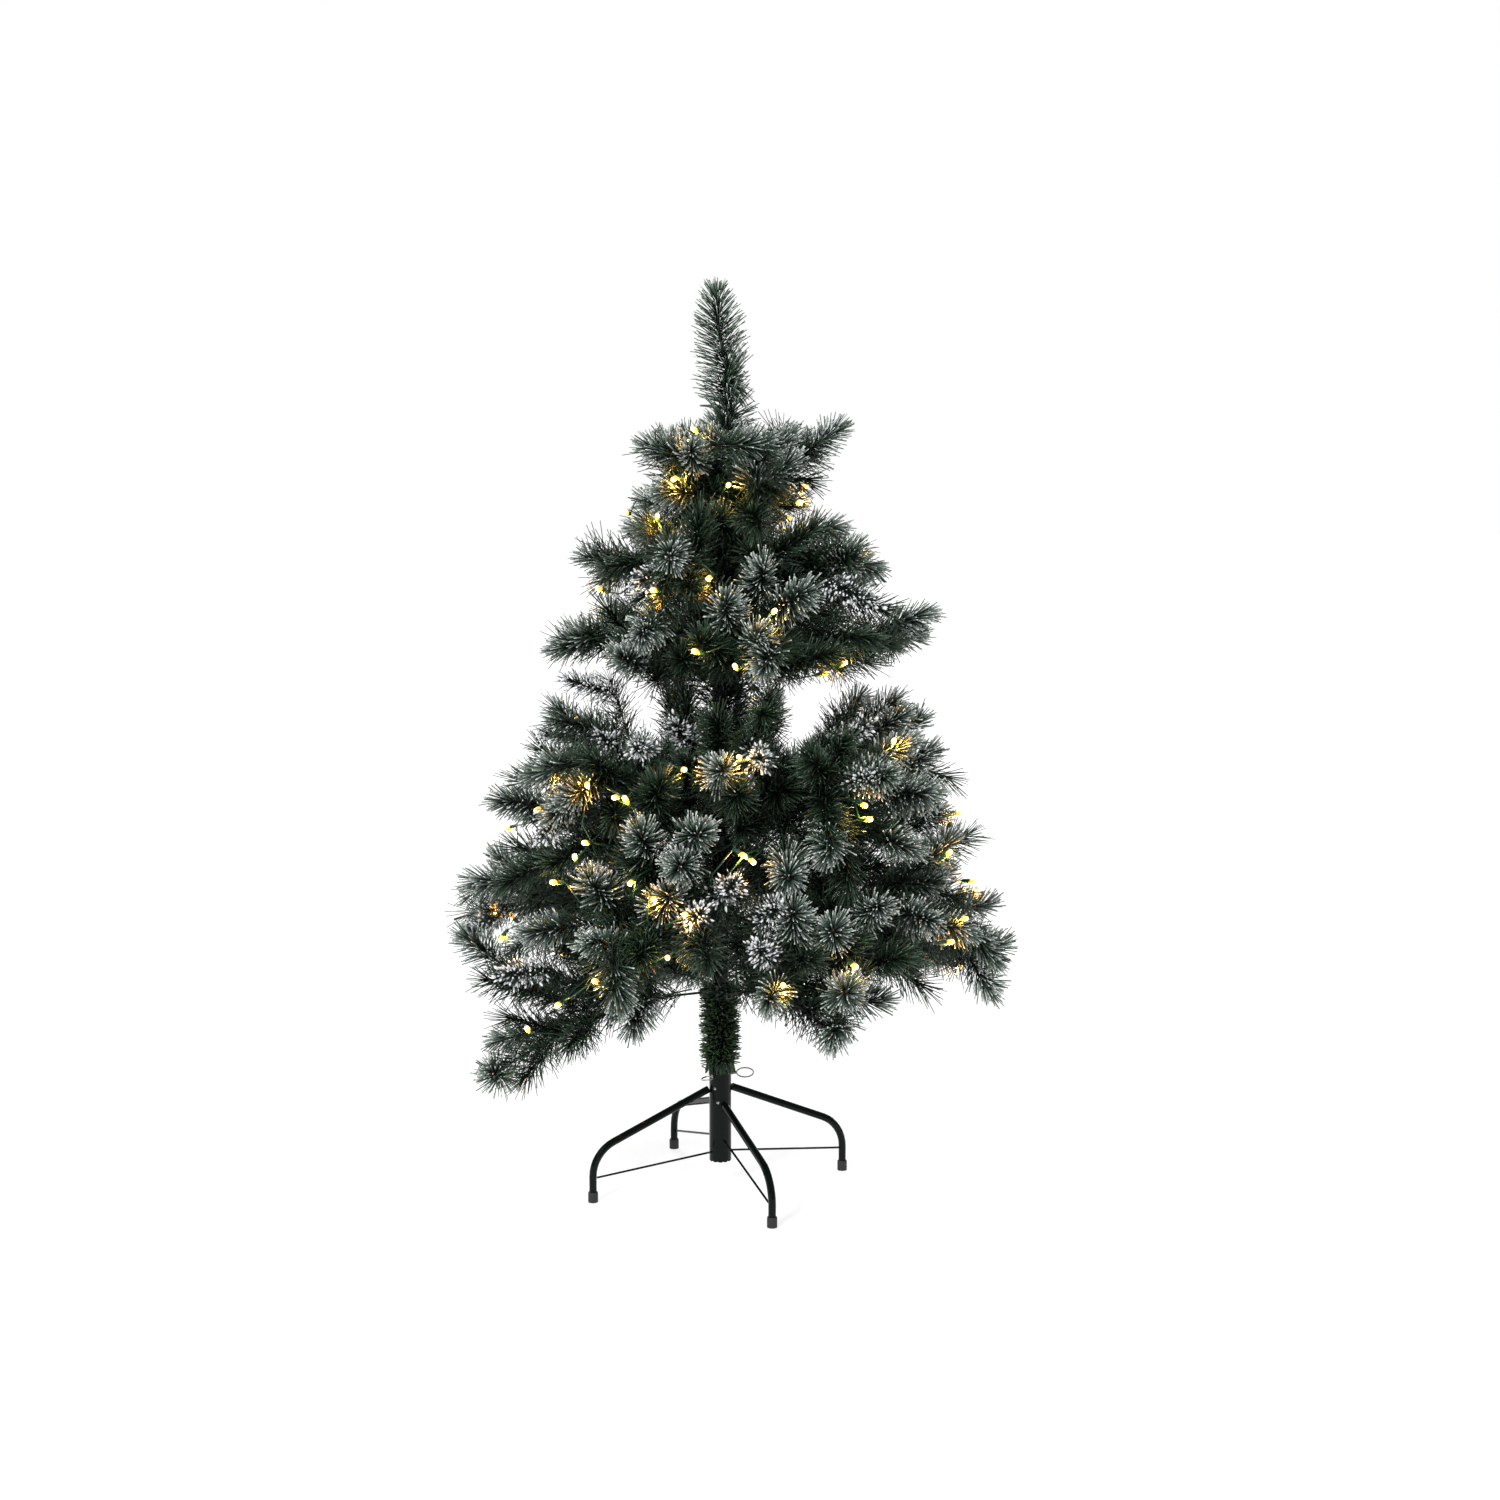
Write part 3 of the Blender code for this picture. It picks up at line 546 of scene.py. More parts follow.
SNOWY_ENDS = (
    (47, -333, 395), (20, -317, 470), (-24, -323, 435), (180, -227, 582), (-96, -233, 626),
    (51, -264, 609), (-99, -129, 818), (189, -111, 794), (-190, -91, 692), (-221, -198, 511),
    (-150, -116, 624), (65, -318, 446), (-265, -214, 339), (184, -135, 636),
)
GREEN_ENDS = (
    (50, -137, 894), (113, -128, 882), (165, -82, 849), (-24, -132, 894), (-87, -87, 893),
    (148, -185, 622), (109, -238, 610), (132, -265, 529), (155, -266, 458), (155, -281, 400),
    (-201, -117, 644), (-158, -199, 605), (-95, -300, 381), (-143, -283, 371), (-35, -302, 395),
    (0, -203, 655), (136, -168, 736), (187, -150, 747), (-24, -193, 752), (-73, -171, 786),
    (-71, -250, 577), (24, -267, 567), (217, -264, 370), (106, -305, 381),
)
# Twigs of the lowest branches, which hang under the outline: (share along, yaw, pitch, bare wire)
HANGING_TWIGS = ((0.42, 46, -4, 0.02), (0.50, -44, 4, 0.02), (0.64, 38, 8, 0.015), (0.70, -38, -6, 0.01),
                 (0.66, 2, 36, 0.0))
HANGING_BRANCHES = ("bottom_branch_2", "bottom_branch_3")

# A branch's foliage, along and across its stem
BARE_SHARE = 0.10  # the stem's first share carries no twigs
STEM_COVER = 0.85  # sprigs cover this much of it
SPRIG_SHARE = 0.78  # sprigs start along this much of the stem
SPRIG_STEP = 0.75  # each starts this share of a sprig's length after the last
SPRIG_SCALE = 0.85  # size of the sprigs on a twig's wire
HANGING_SCALE = 0.95
SWEEP_BACK = 0.9  # a twig leaves the stem this share of its distance further in
TIP_AIM = (0.62, 0.38, 0.34)  # a twig points along its wire, outwards and astray by these shares
LAMP_AIM = (0.9, 0.7)  # a lamp points outwards and astray by these
ROLLS = (0, 6.28)
STEM_SIDES = 8
EYE_SIDES = 8
EYE_STEPS = 16


def in_metres(places):
    return [Vector([length / 1000 for length in place]) for place in places]


def rim_height(angle):
    """Height of the lower section's rim, at an angle round the tree."""
    degrees = math.degrees(angle) % 360
    for (a0, z0), (a1, z1) in zip(RIM, RIM[1:]):
        if degrees <= a1:
            return z0 + (z1 - z0) * (degrees - a0) / (a1 - a0)


def outline_tips(section, count, shares, draw):
    """Twig ends spread evenly over a section's outline, all the way round."""
    outline = OUTLINES[section]
    spans = []
    for (r0, z0), (r1, z1) in zip(outline, outline[1:]):
        spans.append(math.hypot(r1 - r0, z1 - z0) * (r0 + r1) / 2)
    total = sum(spans)
    tips = []
    for number in range(count):
        left = total * (number + 0.5) / count
        index = 0
        while left > spans[index]:
            left -= spans[index]
            index += 1
        share = left / spans[index]
        (r0, z0), (r1, z1) = outline[index], outline[index + 1]
        radius = (r0 + (r1 - r0) * share) * draw.uniform(*shares)
        height = z0 + (z1 - z0) * share + draw.uniform(-HEIGHT_SCATTER, HEIGHT_SCATTER)
        angle = number * GOLDEN_ANGLE + draw.uniform(-ANGLE_SCATTER, ANGLE_SCATTER)
        if section == "lower" and height < RIM_TOP:
            rim = rim_height(angle)
            height = rim + (height - outline[0][1]) * (RIM_TOP - rim) / (RIM_TOP - outline[0][1])
        across = OUTLINE_SHIFT[section] + radius * math.cos(angle)
        tips.append(Vector((across, radius * math.sin(angle), height)))
    return tips


def in_waist(tip):
    """Whether a twig's end would fill one of the openings between the two sections."""
    middle = WAIST_HEIGHT + WAIST_SLOPE * tip.y
    beside = any(low < tip.x < high for low, high in WAIST_WINDOWS)
    return beside and abs(tip.z - middle) < WAIST_HALF


def section_at(height):
    return "lower" if height < RIM_SPLIT else "upper"


def twig_ends():
    """(place, kind, section) of every twig's end, the placed ones first."""
    ends = []
    for kind, places in (("frosted", FROSTED_ENDS), ("snowy", SNOWY_ENDS), ("green", GREEN_ENDS)):
        for place in in_metres(places):
            ends.append((place, kind, section_at(place.z)))
    placed = [end[0] for end in ends]
    draw = random.Random(8)
    for section in ("lower", "upper"):
        for tip in outline_tips(section, TIPS[section], OUTER_SHARE, draw):
            if min((tip - other).length for other in placed) > CLEARANCE and not in_waist(tip):
                weights = KIND_WEIGHTS if tip.y > FIRST_SIDE else FIRST_SIDE_WEIGHTS
                kind = draw.choices(("frosted", "snowy", "green"), weights=weights)[0]
                ends.append((tip, kind, section))
        for tip in outline_tips(section, INNER_TIPS[section], INNER_SHARE, draw):
            if not in_waist(tip):
                ends.append((tip, "green", section))
    return ends


def nearest_on(line, point):
    """(distance, length along the line, whole length) of the place on a line nearest to a point."""
    best = None
    walked = 0.0
    for a, b in zip(line, line[1:]):
        span = (b - a).length
        share = min(max((point - a).dot(b - a) / span ** 2, 0.0), 1.0)
        gap = (point - a.lerp(b, share)).length
        if best is None or gap < best[0]:
            best = (gap, walked + share * span)
        walked += span
    return best[0], best[1], walked


def place_at(line, length):
    """(place, direction) at a length along a line of points."""
    for a, b in zip(line, line[1:]):
        span = (b - a).length
        if length <= span:
            return a.lerp(b, length / span), (b - a).normalized()
        length -= span
    return line[-1].copy(), (line[-1] - line[-2]).normalized()


def assign_ends():
    """(stem lines, twig ends) of the branches; an end goes to the branch that has the least wire to it."""
    lines = {}
    for tier in TIERS:
        for number in range(1, BRANCHES + 1):
            name = f"{tier}_branch_{number}"
            joint = joint_of(name)
            lines[name] = stem_line(name, Vector(joint["pos_m"]), UP.cross(Vector(joint["axis"])))
    ends = {name: [] for name in lines}
    for place, kind, section in twig_ends():
        options = []
        for tier in CARRIERS[section]:
            for number in range(1, BRANCHES + 1):
                name = f"{tier}_branch_{number}"
                gap = nearest_on(lines[name], place)[0]
                options.append((gap + CROWDING * len(ends[name]), name))
        ends[min(options)[1]].append((place, kind))
    for name, line in lines.items():
        end = line[-1].copy()
        out = math.hypot(end.x, end.y)
        if out > REACH_LIMIT:
            end = Vector((end.x * REACH_LIMIT / out, end.y * REACH_LIMIT / out, end.z))
        ends[name].append((end, "frosted"))
    return lines, ends


def twig_base(line, tip):
    """Where a twig's wire leaves the stem, so that it sweeps forwards to its end."""
    gap, along, whole = nearest_on(line, tip)
    return place_at(line, max(BARE_SHARE * whole, along - SWEEP_BACK * gap))[0]


def pick_twig(draw, kind, reach):
    """(mesh, wire length) of a twig of a kind, for the reach there is from the stem."""
    if kind == "snowy":
        return draw.choice(FLECKED_TWIGS), FLECKED_LENGTH
    if kind == "green":
        return draw.choice(PLAIN_TWIGS), TWIG_LENGTH
    if reach < TWIG_LENGTH + 0.01:
        return draw.choice(SHORT_TWIGS), SHORT_TWIG
    return draw.choice(FROSTED_TWIGS), TWIG_LENGTH


def make_branch(name, line, ends):
    """A branch's foliage: sprigs along its stem, then a wire with a twig to each of its ends."""
    axis = Vector(joint_of(name)["axis"])
    draw = random.Random(name)
    placed = []
    whole = sum((b - a).length for a, b in zip(line, line[1:]))
    sprigs = max(2, round(whole * STEM_COVER / (SPRIG_LENGTH * SPRIG_STEP)))
    for index in range(sprigs):
        start, along = place_at(line, whole * (BARE_SHARE + SPRIG_SHARE * index / sprigs))
        placed.append((draw.choice(SPRIGS), twig_frame(start, along, draw.uniform(*ROLLS), 1.0)))
    wires, uv = new_foliage()
    add_wire(wires, uv, line, STEM_WIRE, STEM_SIDES)
    for tip, kind in ends:
        base = twig_base(line, tip)
        outward = Vector((tip.x, tip.y, 0.0)).normalized()
        stray = Vector((draw.uniform(-1, 1), draw.uniform(-1, 1), draw.uniform(-1, 1)))
        aim = (tip - base).normalized() * TIP_AIM[0] + outward * TIP_AIM[1] + stray * TIP_AIM[2]
        direction = aim.normalized()
        mesh, length = pick_twig(draw, kind, (tip - base).length)
        foot = tip - direction * length
        placed.append((mesh, twig_frame(foot, direction, draw.uniform(*ROLLS), 1.0)))
        gap = foot - base
        add_wire(wires, uv, [base, foot], TWIG_WIRE)
        for step in range(math.ceil(gap.length / SPRIG_LENGTH)):
            start = base + gap * (step * SPRIG_LENGTH / gap.length)
            sprig = draw.choice(SPRIGS)
            placed.append((sprig, twig_frame(start, gap.normalized(), draw.uniform(*ROLLS), SPRIG_SCALE)))
    if name in HANGING_BRANCHES:
        for share, yaw, pitch, wire in HANGING_TWIGS:
            start, along = place_at(line, share * whole)
            raised = along.cross(axis)
            raised = -raised if raised.z < 0 else raised
            yaw = math.radians(yaw + draw.uniform(-8, 8))
            pitch = math.radians(pitch + draw.uniform(-8, 8))
            flat = along * math.cos(yaw) + axis * math.sin(yaw)
            direction = (flat * math.cos(pitch) + raised * math.sin(pitch)).normalized()
            mesh, _ = pick_twig(draw, draw.choice(("frosted", "frosted", "green")), 2 * TWIG_LENGTH)
            add_wire(wires, uv, [start, start + direction * (wire + 0.01)], TWIG_WIRE)
            placed.append((mesh, twig_frame(start + direction * wire, direction, 0.0, HANGING_SCALE)))
    add_eye(wires, uv, line[0], axis)
    placed.append((to_mesh(wires, name + "_wire"), Matrix.Identity(4)))
    foliage = gather(name + "_foliage", placed, FOLIAGE_MATERIALS)
    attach(foliage, name)
    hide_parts(name)


def add_eye(work, uv, pin, axis):
    """The loop at the stem's end that turns on the bracket's pin."""
    circle = bmesh.ops.create_circle(work, segments=EYE_SIDES, radius=EYE_WIRE)["verts"]
    bmesh.ops.translate(work, verts=circle, vec=(EYE_RADIUS - EYE_WIRE, 0.0, 0.0))
    bmesh.ops.rotate(work, verts=circle, cent=(0, 0, 0), matrix=Matrix.Rotation(math.pi / 2, 3, "X"))
    edges = list({edge for vert in circle for edge in vert.link_edges})
    bmesh.ops.spin(work, geom=circle + edges, cent=(0, 0, 0), axis=(0, 0, 1), angle=math.tau,
                   steps=EYE_STEPS, use_merge=True, use_normal_flip=False)
    verts = list({item for item in work.verts if item.co.length < 2 * EYE_RADIUS})
    faces = faces_of(verts)
    bmesh.ops.recalc_face_normals(work, faces=faces)
    map_strip(faces, uv, EYE_RADIUS, WIRE, EYE_COLUMN)
    bmesh.ops.transform(work, matrix=Matrix.Translation(pin) @ frame_along(axis), verts=verts)


# ---------------------------------------------------------------- lights

LAMP_RADIUS = 0.0033
LAMP_LENGTH = 0.0098
HOLDER_RADIUS = 0.0035
HOLDER_LENGTH = 0.0105
HOLDER_TAPER = 0.6
HOLDER_ROUND = 0.0005
LAMP_SIDES = 12
LENS_MARGIN = 0.05  # share of a lens's map left free on each side
LIGHT_WIRE = 0.0011
WIRE_LIFT = 0.006  # the light wire lies this far above the stem
LAMP_COLOR = (1.0, 0.43, 0.06)
LAMP_POWER = 0.30
GLOW_SIZE = 0.004
GLOW_ALONG = 0.3  # the glow's centre along the lens, as a share of its length
GLOW_OFFSET = 0.0080  # and beside it
GLOW_NEAR = 0.010  # the glow is full up to here and gone at the far distance
GLOW_FAR = 0.042
SPREAD_LAMPS = {"lower": 60, "upper": 34}
LAMP_SHARE = (0.86, 1.0)  # spread lamps stand at this share of the outline's radius
# Lamps placed on the side that is seen first, in millimetres
LAMP_PLACES = (
    (-53, -67, 947), (11, -101, 937), (-78, -91, 897), (99, -87, 916), (-11, -167, 826), (-78, -154, 809),
    (65, -204, 785), (-26, -208, 737), (20, -197, 717), (152, -151, 717), (132, -52, 696),
    (215, -164, 621), (-200, -185, 583), (-161, -224, 579), (-44, -265, 601), (24, -265, 614),
    (-221, -182, 542), (-123, -253, 566), (-111, -261, 562), (172, -242, 555), (177, -246, 537),
    (-160, -251, 510), (-175, -249, 491), (24, -306, 506), (36, -307, 499), (-104, -295, 471),
    (-80, -308, 453), (-40, -320, 436), (-197, -243, 460), (283, -160, 478), (302, -164, 399),
    (280, -207, 377), (-269, -187, 382), (158, -307, 372), (73, -340, 355), (-62, -328, 386),
    (-144, -309, 351), (-194, -273, 317), (-237, -208, 268),
)


def lens_mesh():
    """A rounded lamp lens: a bullet on +Z."""
    work = bmesh.new()
    bmesh.ops.create_uvsphere(work, u_segments=LAMP_SIDES, v_segments=8, radius=LAMP_RADIUS)
    lower = [vert for vert in work.verts if vert.co.z < 1e-6]
    bmesh.ops.translate(work, verts=lower, vec=(0, 0, -(LAMP_LENGTH - 2 * LAMP_RADIUS)))
    bmesh.ops.translate(work, verts=work.verts, vec=(0, 0, LAMP_LENGTH - LAMP_RADIUS))
    uv = work.loops.layers.uv.new("OFBake")
    for face in work.faces:
        face.smooth = True
        for loop in face.loops:
            turn = math.atan2(loop.vert.co.y, loop.vert.co.x) / math.tau + 0.5
            along = loop.vert.co.z / LAMP_LENGTH
            loop[uv].uv = (LENS_MARGIN + (1 - 2 * LENS_MARGIN) * turn,
                           END_MARGIN + (1 - 2 * END_MARGIN) * along)
    return to_mesh(work, "lens")


def holder_mesh():
    """The green holder behind a lens: a tapered sleeve that grips the wire."""
    work = bmesh.new()
    bmesh.ops.create_cone(work, cap_ends=True, segments=LAMP_SIDES, radius1=HOLDER_RADIUS * HOLDER_TAPER,
                          radius2=HOLDER_RADIUS, depth=HOLDER_LENGTH)
    bmesh.ops.translate(work, verts=work.verts, vec=(0, 0, -HOLDER_LENGTH / 2))
    rims = [edge for edge in work.edges if abs(edge.verts[0].co.z - edge.verts[1].co.z) < 1e-6]
    bmesh.ops.bevel(work, geom=rims, offset=HOLDER_ROUND, segments=2, profile=0.5, affect="EDGES",
                    material=-1)
    for face in work.faces:
        face.smooth = True
    return to_mesh(work, "holder")


def wire_piece(name, points, radius, material):
    """A soft wire through the points, as one smooth tube."""
    data = bpy.data.curves.new(name, "CURVE")
    data.dimensions = "3D"
    data.bevel_depth = radius
    data.bevel_resolution = 1
    data.resolution_u = 4
    data.use_fill_caps = True
    spline = data.splines.new("BEZIER")
    spline.bezier_points.add(len(points) - 1)
    for bezier, point in zip(spline.bezier_points, points):
        bezier.co = point
        bezier.handle_left_type = "AUTO"
        bezier.handle_right_type = "AUTO"
    data.materials.append(material)
    return add_piece(name, data)


def lamp_places():
    """Where the lamps are: the placed ones on the side seen first, then the spread ones behind."""
    places = in_metres(LAMP_PLACES)
    draw = random.Random(9)
    for section, count in SPREAD_LAMPS.items():
        for place in outline_tips(section, count, LAMP_SHARE, draw):
            if place.y > FIRST_SIDE and not in_waist(place):
                places.append(place)
    return places


def assign_lamps(lines):
    """Each lamp goes to the nearest branch of its section."""
    lamps = {name: [] for name in lines}
    for place in lamp_places():
        carriers = CARRIERS[section_at(place.z)]
        options = [(nearest_on(lines[name], place)[0], name) for name in lines
                   if name.split("_")[0] in carriers]
        lamps[min(options)[1]].append(place)
    return lamps


def make_lamps(name, line, places):
    """A branch's lamps in their holders, and the light wire that runs to each and back to the stem."""
    if not places:
        return
    draw = random.Random(name + " lamps")
    lenses, holders = [], []
    route = [line[0].lerp(line[1], 0.4) + UP * WIRE_LIFT]
    for place in sorted(places, key=lambda place: nearest_on(line, place)[1]):
        outward = Vector((place.x, place.y, 0.0)).normalized()
        stray = Vector((draw.uniform(-1, 1), draw.uniform(-1, 1), draw.uniform(-0.6, 1)))
        facing = (outward * LAMP_AIM[0] + stray * LAMP_AIM[1]).normalized()
        turn = Matrix.Translation(place) @ frame_along(facing)
        lenses.append((LENS, turn))
        holders.append((HOLDER, turn))
        route += [twig_base(line, place) + UP * WIRE_LIFT, place - facing * HOLDER_LENGTH]
        beside = facing.cross(outward.cross(UP)).normalized()
        add_glow(name, place + facing * LAMP_LENGTH * GLOW_ALONG + beside * GLOW_OFFSET)
    lens = gather(name + "_lamps", lenses, [LAMP])
    holder = gather(name + "_lamp_holders", holders, [HOLDER_GREEN])
    wire = wire_piece(name + "_light_wire", route, LIGHT_WIRE, WIRE_GREEN)
    for piece in (lens, holder, wire):
        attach(piece, name)


def add_glow(body, place):
    """The lamp's own light on the needles round it."""
    data = bpy.data.lights.new("glow", "POINT")
    data.energy = LAMP_POWER
    data.color = LAMP_COLOR
    data.shadow_soft_size = GLOW_SIZE
    data.use_nodes = True
    tree = data.node_tree
    path = add_node(tree, "ShaderNodeLightPath")
    fade = add_node(tree, "ShaderNodeMapRange")
    set_sockets(fade, From_Min=GLOW_NEAR, From_Max=GLOW_FAR, To_Min=1.0, To_Max=0.0)
    tree.links.new(path.outputs["Ray Length"], fade.inputs["Value"])
    tree.links.new(fade.outputs["Result"], tree.nodes["Emission"].inputs["Strength"])
    light = add_piece("glow", data)
    light.location = place
    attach(light, body)


# ---------------------------------------------------------------- trunk and leader

GARLAND_KINDS = (DARK, PLAIN, GARLAND, GARLAND)
GARLAND_WIDTHS = (0.0024, 0.0013)
GARLAND_REACH = (0.007, 0.0195)
GARLAND_COUNT = 1700
GARLAND_RADIUS = 0.0112
GARLAND_RISE = 0.03  # the garland goes this far up under the canopy
FRINGE_COUNT = 150
FRINGE_RADIUS = 0.0162
FRINGE_REACH = (0.010, 0.019)
SCREW_TURN = math.tau / 3  # between one eye screw and the next; the first points to +X
FRINGE_CLEAR = math.radians(9.0)
POLE_REACH = (0.030, 0.050)
LEADER_SPANS = 6  # straight spans of the leader's stem
LEADER_COUNT = 820
LEADER_WIDTHS = (0.0011, 0.0013)
LEADER_SPLAY = (48, 72)
LEADER_CLOSE = 150  # its needles close and shorten over the stem's last fifth
LEADER_TAPER = 2.0
LEADER_END = 0.8
LEADER_GREEN_SHARE = 0.76
TUFT_TWIGS = 5  # twigs round the leader's foot
TUFT_DROP = 0.035
TUFT_SCALE = 0.9


def add_fringe(work, uv, draw, bottom):
    """Needles of the trunk's garland that hang down outside the socket, clear of the eye screws."""
    for number in range(FRINGE_COUNT):
        turn = math.tau * (number + draw.uniform(-0.3, 0.3)) / FRINGE_COUNT
        if abs((turn + SCREW_TURN / 2) % SCREW_TURN - SCREW_TURN / 2) < FRINGE_CLEAR:
            continue
        out = Vector((math.cos(turn), math.sin(turn), 0.0))
        sideways = UP.cross(out) * draw.uniform(-0.35, 0.35)
        root = out * FRINGE_RADIUS + UP * (bottom + draw.uniform(0.001, 0.006))
        add_needle(work, uv, root, (out * 0.22 - UP + sideways).normalized(),
                   draw.uniform(*FRINGE_REACH), GARLAND_WIDTHS, draw.choice(GARLAND_KINDS), draw)


def pole_foliage(name, body, bottom, top, radius, count, reach, widths, splay, kinds, seed,
                 fringed=False):
    """Needles that stand out all round a length of pole; reach is (shortest, longest)."""
    draw = random.Random(seed)
    work, uv = new_foliage()
    if fringed:
        add_fringe(work, uv, draw, bottom)
    turn = 0.0
    for number in range(count):
        share = (number + draw.random()) / count
        turn += NEEDLE_TURN
        out = Vector((math.cos(turn), math.sin(turn), 0.0))
        tilt = math.radians(splay + draw.uniform(-25, 25))
        direction = out * math.cos(tilt) + UP * math.sin(tilt)
        sideways = UP.cross(out) * draw.uniform(-0.5, 0.5)
        root = out * radius + UP * (bottom + (top - bottom) * share)
        add_needle(work, uv, root, (direction + sideways).normalized(), draw.uniform(*reach),
                   widths, draw.choice(kinds), draw)
    piece = finish_piece(name, work, FOLIAGE_MATERIALS)
    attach(piece, body)
    return piece


def make_leader():
    """The top shoot, with needles swept up its leaning stem and a frosted tuft of twigs at its foot."""
    points = [vert.co.copy() for vert in frame["nodes"]["leader"].data.vertices]
    low = min(point.z for point in points)
    high = max(point.z for point in points)
    groups = {}
    for point in points:
        groups.setdefault(round((point.z - low) / (high - low) * LEADER_SPANS), []).append(point)
    line = [sum(group, Vector()) / len(group) for _, group in sorted(groups.items())]
    draw = random.Random(5)
    work, uv = new_foliage()
    add_wire(work, uv, line, STEM_WIRE, STEM_SIDES)
    turn = 0.0
    for number in range(LEADER_COUNT):
        share = (number + 0.5) / LEADER_COUNT
        root, along = point_on(line, min(share, 0.97) * 0.98)
        turn += NEEDLE_TURN
        side = along.cross(Vector((0, 1, 0))).normalized()
        other = along.cross(side)
        past = max(0.0, share - LEADER_END)
        splay = math.radians(draw.uniform(*LEADER_SPLAY) - LEADER_CLOSE * past)
        beside = side * math.cos(turn) + other * math.sin(turn)
        direction = along * math.cos(splay) + beside * math.sin(splay)
        kind = PLAIN if draw.random() < LEADER_GREEN_SHARE else FROSTED
        reach = DARK_NEEDLE * draw.uniform(0.85, 1.15) * (1.0 - LEADER_TAPER * past)
        add_needle(work, uv, root, direction, reach, LEADER_WIDTHS, kind, draw)
    wires = to_mesh(work, "leader_needles")
    placed = [(wires, Matrix.Identity(4))]
    foot = line[0] - UP * TUFT_DROP
    for index in range(TUFT_TWIGS):
        angle = math.tau * (index + 0.3) / TUFT_TWIGS
        direction = Vector((math.cos(angle), math.sin(angle), draw.uniform(0.7, 1.3))).normalized()
        placed.append((draw.choice(SHORT_TWIGS), twig_frame(foot, direction, 0.0, TUFT_SCALE)))
    leader = gather("leader_foliage", placed, FOLIAGE_MATERIALS)
    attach(leader, "upper_trunk")
    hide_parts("leader")


# ---------------------------------------------------------------- stage

FLOOR_SIZE = 60.0
FLOOR_DROP = 0.0005  # the floor lies this far under the feet
FLOOR_GRAY = 0.32
FLOOR_GLOW = 0.78
AMBIENT = 0.21  # the room's light on the tree
# Lights: (name, the way they shine, power, spread in degrees)
SUNS = (("key", (0.45, 0.80, -0.62), 2.55, 11.0), ("fill", (-0.75, 0.65, -0.55), 0.8, 30.0),
        ("top", (0.0, -0.35, -1.0), 0.7, 40.0), ("back", (0.30, -0.85, -0.50), 1.9, 25.0))
LENS_LENGTH = 53.2
SENSOR_WIDTH = 36.0
CAMERA_PLACE = (0.0, -2.891, 0.952)
CAMERA_DROP = 7.12  # degrees that the view looks down
CAMERA_TURN = -0.79


def make_stage():
    bpy.ops.mesh.primitive_plane_add(size=FLOOR_SIZE, location=(0.0, 0.0, -FLOOR_DROP))
    floor = bpy.context.object
    floor.name = "floor"
    material, _, shader = new_material("pale_floor")
    set_sockets(shader, Base_Color=(FLOOR_GRAY, FLOOR_GRAY, FLOOR_GRAY, 1.0), Roughness=0.9,
                Emission_Color=(1.0, 1.0, 1.0, 1.0), Emission_Strength=FLOOR_GLOW, Specular_IOR_Level=0.0)
    floor.data.materials.append(material)
    world = bpy.data.worlds.new("studio")
    world.use_nodes = True
    tree = world.node_tree
    backdrop = tree.nodes["Background"]
    backdrop.inputs["Color"].default_value = (1.0, 1.0, 1.0, 1.0)
    path = add_node(tree, "ShaderNodeLightPath")
    level = add_node(tree, "ShaderNodeMapRange")
    set_sockets(level, To_Min=AMBIENT, To_Max=1.0)
    tree.links.new(path.outputs["Is Camera Ray"], level.inputs["Value"])
    tree.links.new(level.outputs["Result"], backdrop.inputs["Strength"])
    bpy.context.scene.world = world
    for name, toward, power, spread in SUNS:
        data = bpy.data.lights.new(name, "SUN")
        data.energy = power
        data.angle = math.radians(spread)
        light = add_piece(name, data)
        light.rotation_euler = Vector(toward).to_track_quat("-Z", "Y").to_euler()


def make_camera():
    data = bpy.data.cameras.new("camera")
    data.lens = LENS_LENGTH
    data.sensor_width = SENSOR_WIDTH
    camera = add_piece("camera", data)
    camera.location = CAMERA_PLACE
    camera.rotation_euler = (math.radians(90.0 - CAMERA_DROP), 0.0, math.radians(CAMERA_TURN))
    bpy.context.scene.camera = camera
    bpy.context.scene.view_settings.view_transform = "Standard"


FILM = film_group()
# In the order of the needle kinds: name, colours from root to tip, lightness, crusting, roughness
# On every kind of needle the colours fall to near black at the root: painted shade of the crowded core of twigs,
# stems and garland, laid over the needle's own green. The pale ends are frost.
FOLIAGE_MATERIALS = [
    film_material("frosted_needle", [(0.0, (0.006, 0.012, 0.008)), (0.28, (0.022, 0.040, 0.031)),
                                     (0.58, (0.074, 0.108, 0.092)), (0.84, (0.220, 0.258, 0.234)),
                                     (1.0, (0.64, 0.68, 0.64))], 0.45, 0.60, 0.6),
    film_material("dark_needle", [(0.0, (0.003, 0.008, 0.004)), (0.5, (0.009, 0.024, 0.010)),
                                  (1.0, (0.028, 0.058, 0.026))], 0.65, 0.2, 0.4),
    film_material("flecked_needle", [(0.0, (0.006, 0.016, 0.010)), (0.6, (0.020, 0.040, 0.028)),
                                     (1.0, (0.16, 0.18, 0.17))], 0.45, 0.4, 0.5),
    film_material("branch_wire", [(0.0, (0.014, 0.018, 0.012)), (1.0, (0.018, 0.022, 0.014))],
                  0.2, 0.1, 0.6),
    film_material("brown_bud", [(0.0, (0.08, 0.024, 0.010)), (1.0, (0.16, 0.055, 0.022))],
                  0.2, 0.2, 0.6),
    film_material("snow_crust", [(0.0, (0.72, 0.74, 0.76)), (1.0, (0.92, 0.94, 0.96))],
                  0.10, 0.1, 0.8),
    film_material("plain_needle", [(0.0, (0.005, 0.013, 0.007)), (0.55, (0.015, 0.037, 0.019)),
                                   (0.85, (0.040, 0.072, 0.043)), (1.0, (0.12, 0.155, 0.12))],
                  0.75, 0.40, 0.45),
    film_material("garland_needle", [(0.0, (0.010, 0.020, 0.006)), (0.6, (0.026, 0.060, 0.018)),
                                     (1.0, (0.060, 0.105, 0.040))], 0.75, 0.25, 0.45),
]
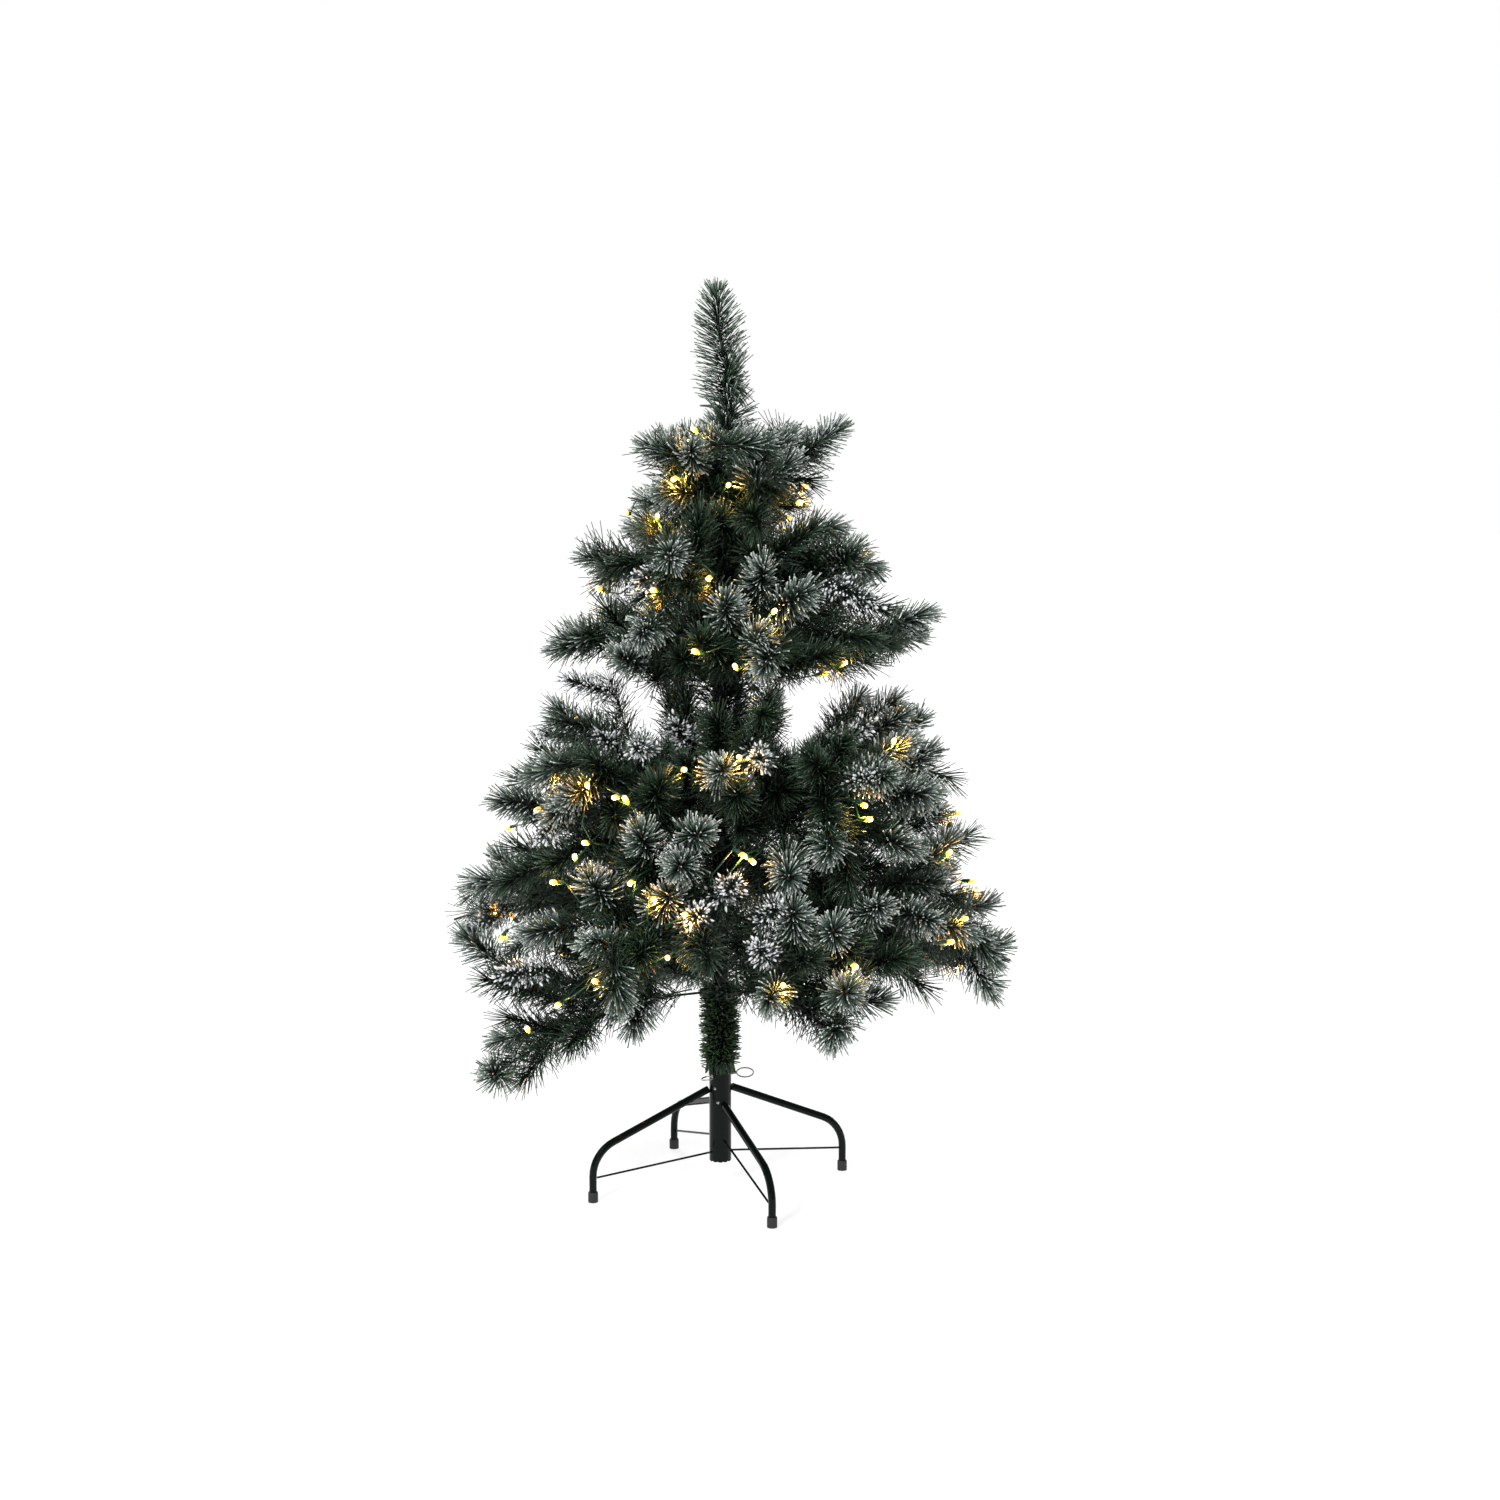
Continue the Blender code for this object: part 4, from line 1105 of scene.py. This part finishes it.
LAMP = lamp_material("warm_lamp")
# Name, colour, roughness, metallic, grains per metre, depth of the grain, specular
HOLDER_GREEN = grained_material("lamp_holder_green", (0.010, 0.050, 0.022), 0.45, 0.0, 400.0, 0.0001)
WIRE_GREEN = grained_material("light_wire_green", (0.006, 0.034, 0.014), 0.4, 0.0, 300.0, 0.0001)
PAINT = grained_material("green_black_enamel", (0.0026, 0.0046, 0.0040), 0.09, 0.0, 900.0, 0.00001,
                         0.13)
RUBBER = grained_material("foot_rubber", (0.012, 0.012, 0.013), 0.6, 0.0, 700.0, 0.0001)
ZINC = grained_material("zinc_plate", (0.42, 0.42, 0.41), 0.22, 1.0, 500.0, 0.00005)
BRACKET = grained_material("bracket_enamel", (0.012, 0.030, 0.020), 0.4, 0.0, 600.0, 0.00005)

# One twig for each seed; the counts are of needles
FROSTED_TWIGS = [frosted_twig(seed, TWIG_LENGTH, 165, 45) for seed in range(11, 17)]
SHORT_TWIGS = [frosted_twig(seed, SHORT_TWIG, 165, 12) for seed in range(21, 25)]
FLECKED_TWIGS = [flecked_twig(seed, FLECKED_LENGTH, 190) for seed in range(31, 35)]
PLAIN_TWIGS = [plain_twig(seed, TWIG_LENGTH, 165) for seed in range(41, 45)]
SPRIGS = [dark_sprig(seed, 70) for seed in range(51, 55)]
LENS = lens_mesh()
HOLDER = holder_mesh()

make_camera()
make_stage()
branch_lines, branch_ends = assign_ends()
branch_lamps = assign_lamps(branch_lines)
for branch_name, branch_line in branch_lines.items():
    make_branch(branch_name, branch_line, branch_ends[branch_name])
    make_lamps(branch_name, branch_line, branch_lamps[branch_name])
make_leader()
wrap_low, wrap_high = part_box("trunk_garland")
garland = pole_foliage("garland_needles", "lower_trunk", wrap_low.z, wrap_high.z + GARLAND_RISE,
                       GARLAND_RADIUS, GARLAND_COUNT, GARLAND_REACH, GARLAND_WIDTHS, 5, GARLAND_KINDS, 3,
                       fringed=True)
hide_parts("trunk_garland")
pole_foliage("lower_pole_needles", "lower_trunk", 0.285, 0.635, 0.012, 1500, POLE_REACH, FINE, 20,
             (DARK,), 4)
pole_foliage("upper_pole_needles", "upper_trunk", 0.645, 0.975, 0.011, 1300, POLE_REACH, FINE, 20,
             (DARK,), 6)

SLOT_FINISH = {"stand_paint": PAINT, "foot_rubber": RUBBER, "zinc_wire": ZINC, "bracket_paint": BRACKET,
               "light_cable": WIRE_GREEN}
for entry in frame["record"]["subparts"]:
    if entry["material_slot"] in SLOT_FINISH:
        node = frame["nodes"][entry["node"]]
        node.data.materials.clear()
        node.data.materials.append(SLOT_FINISH[entry["material_slot"]])
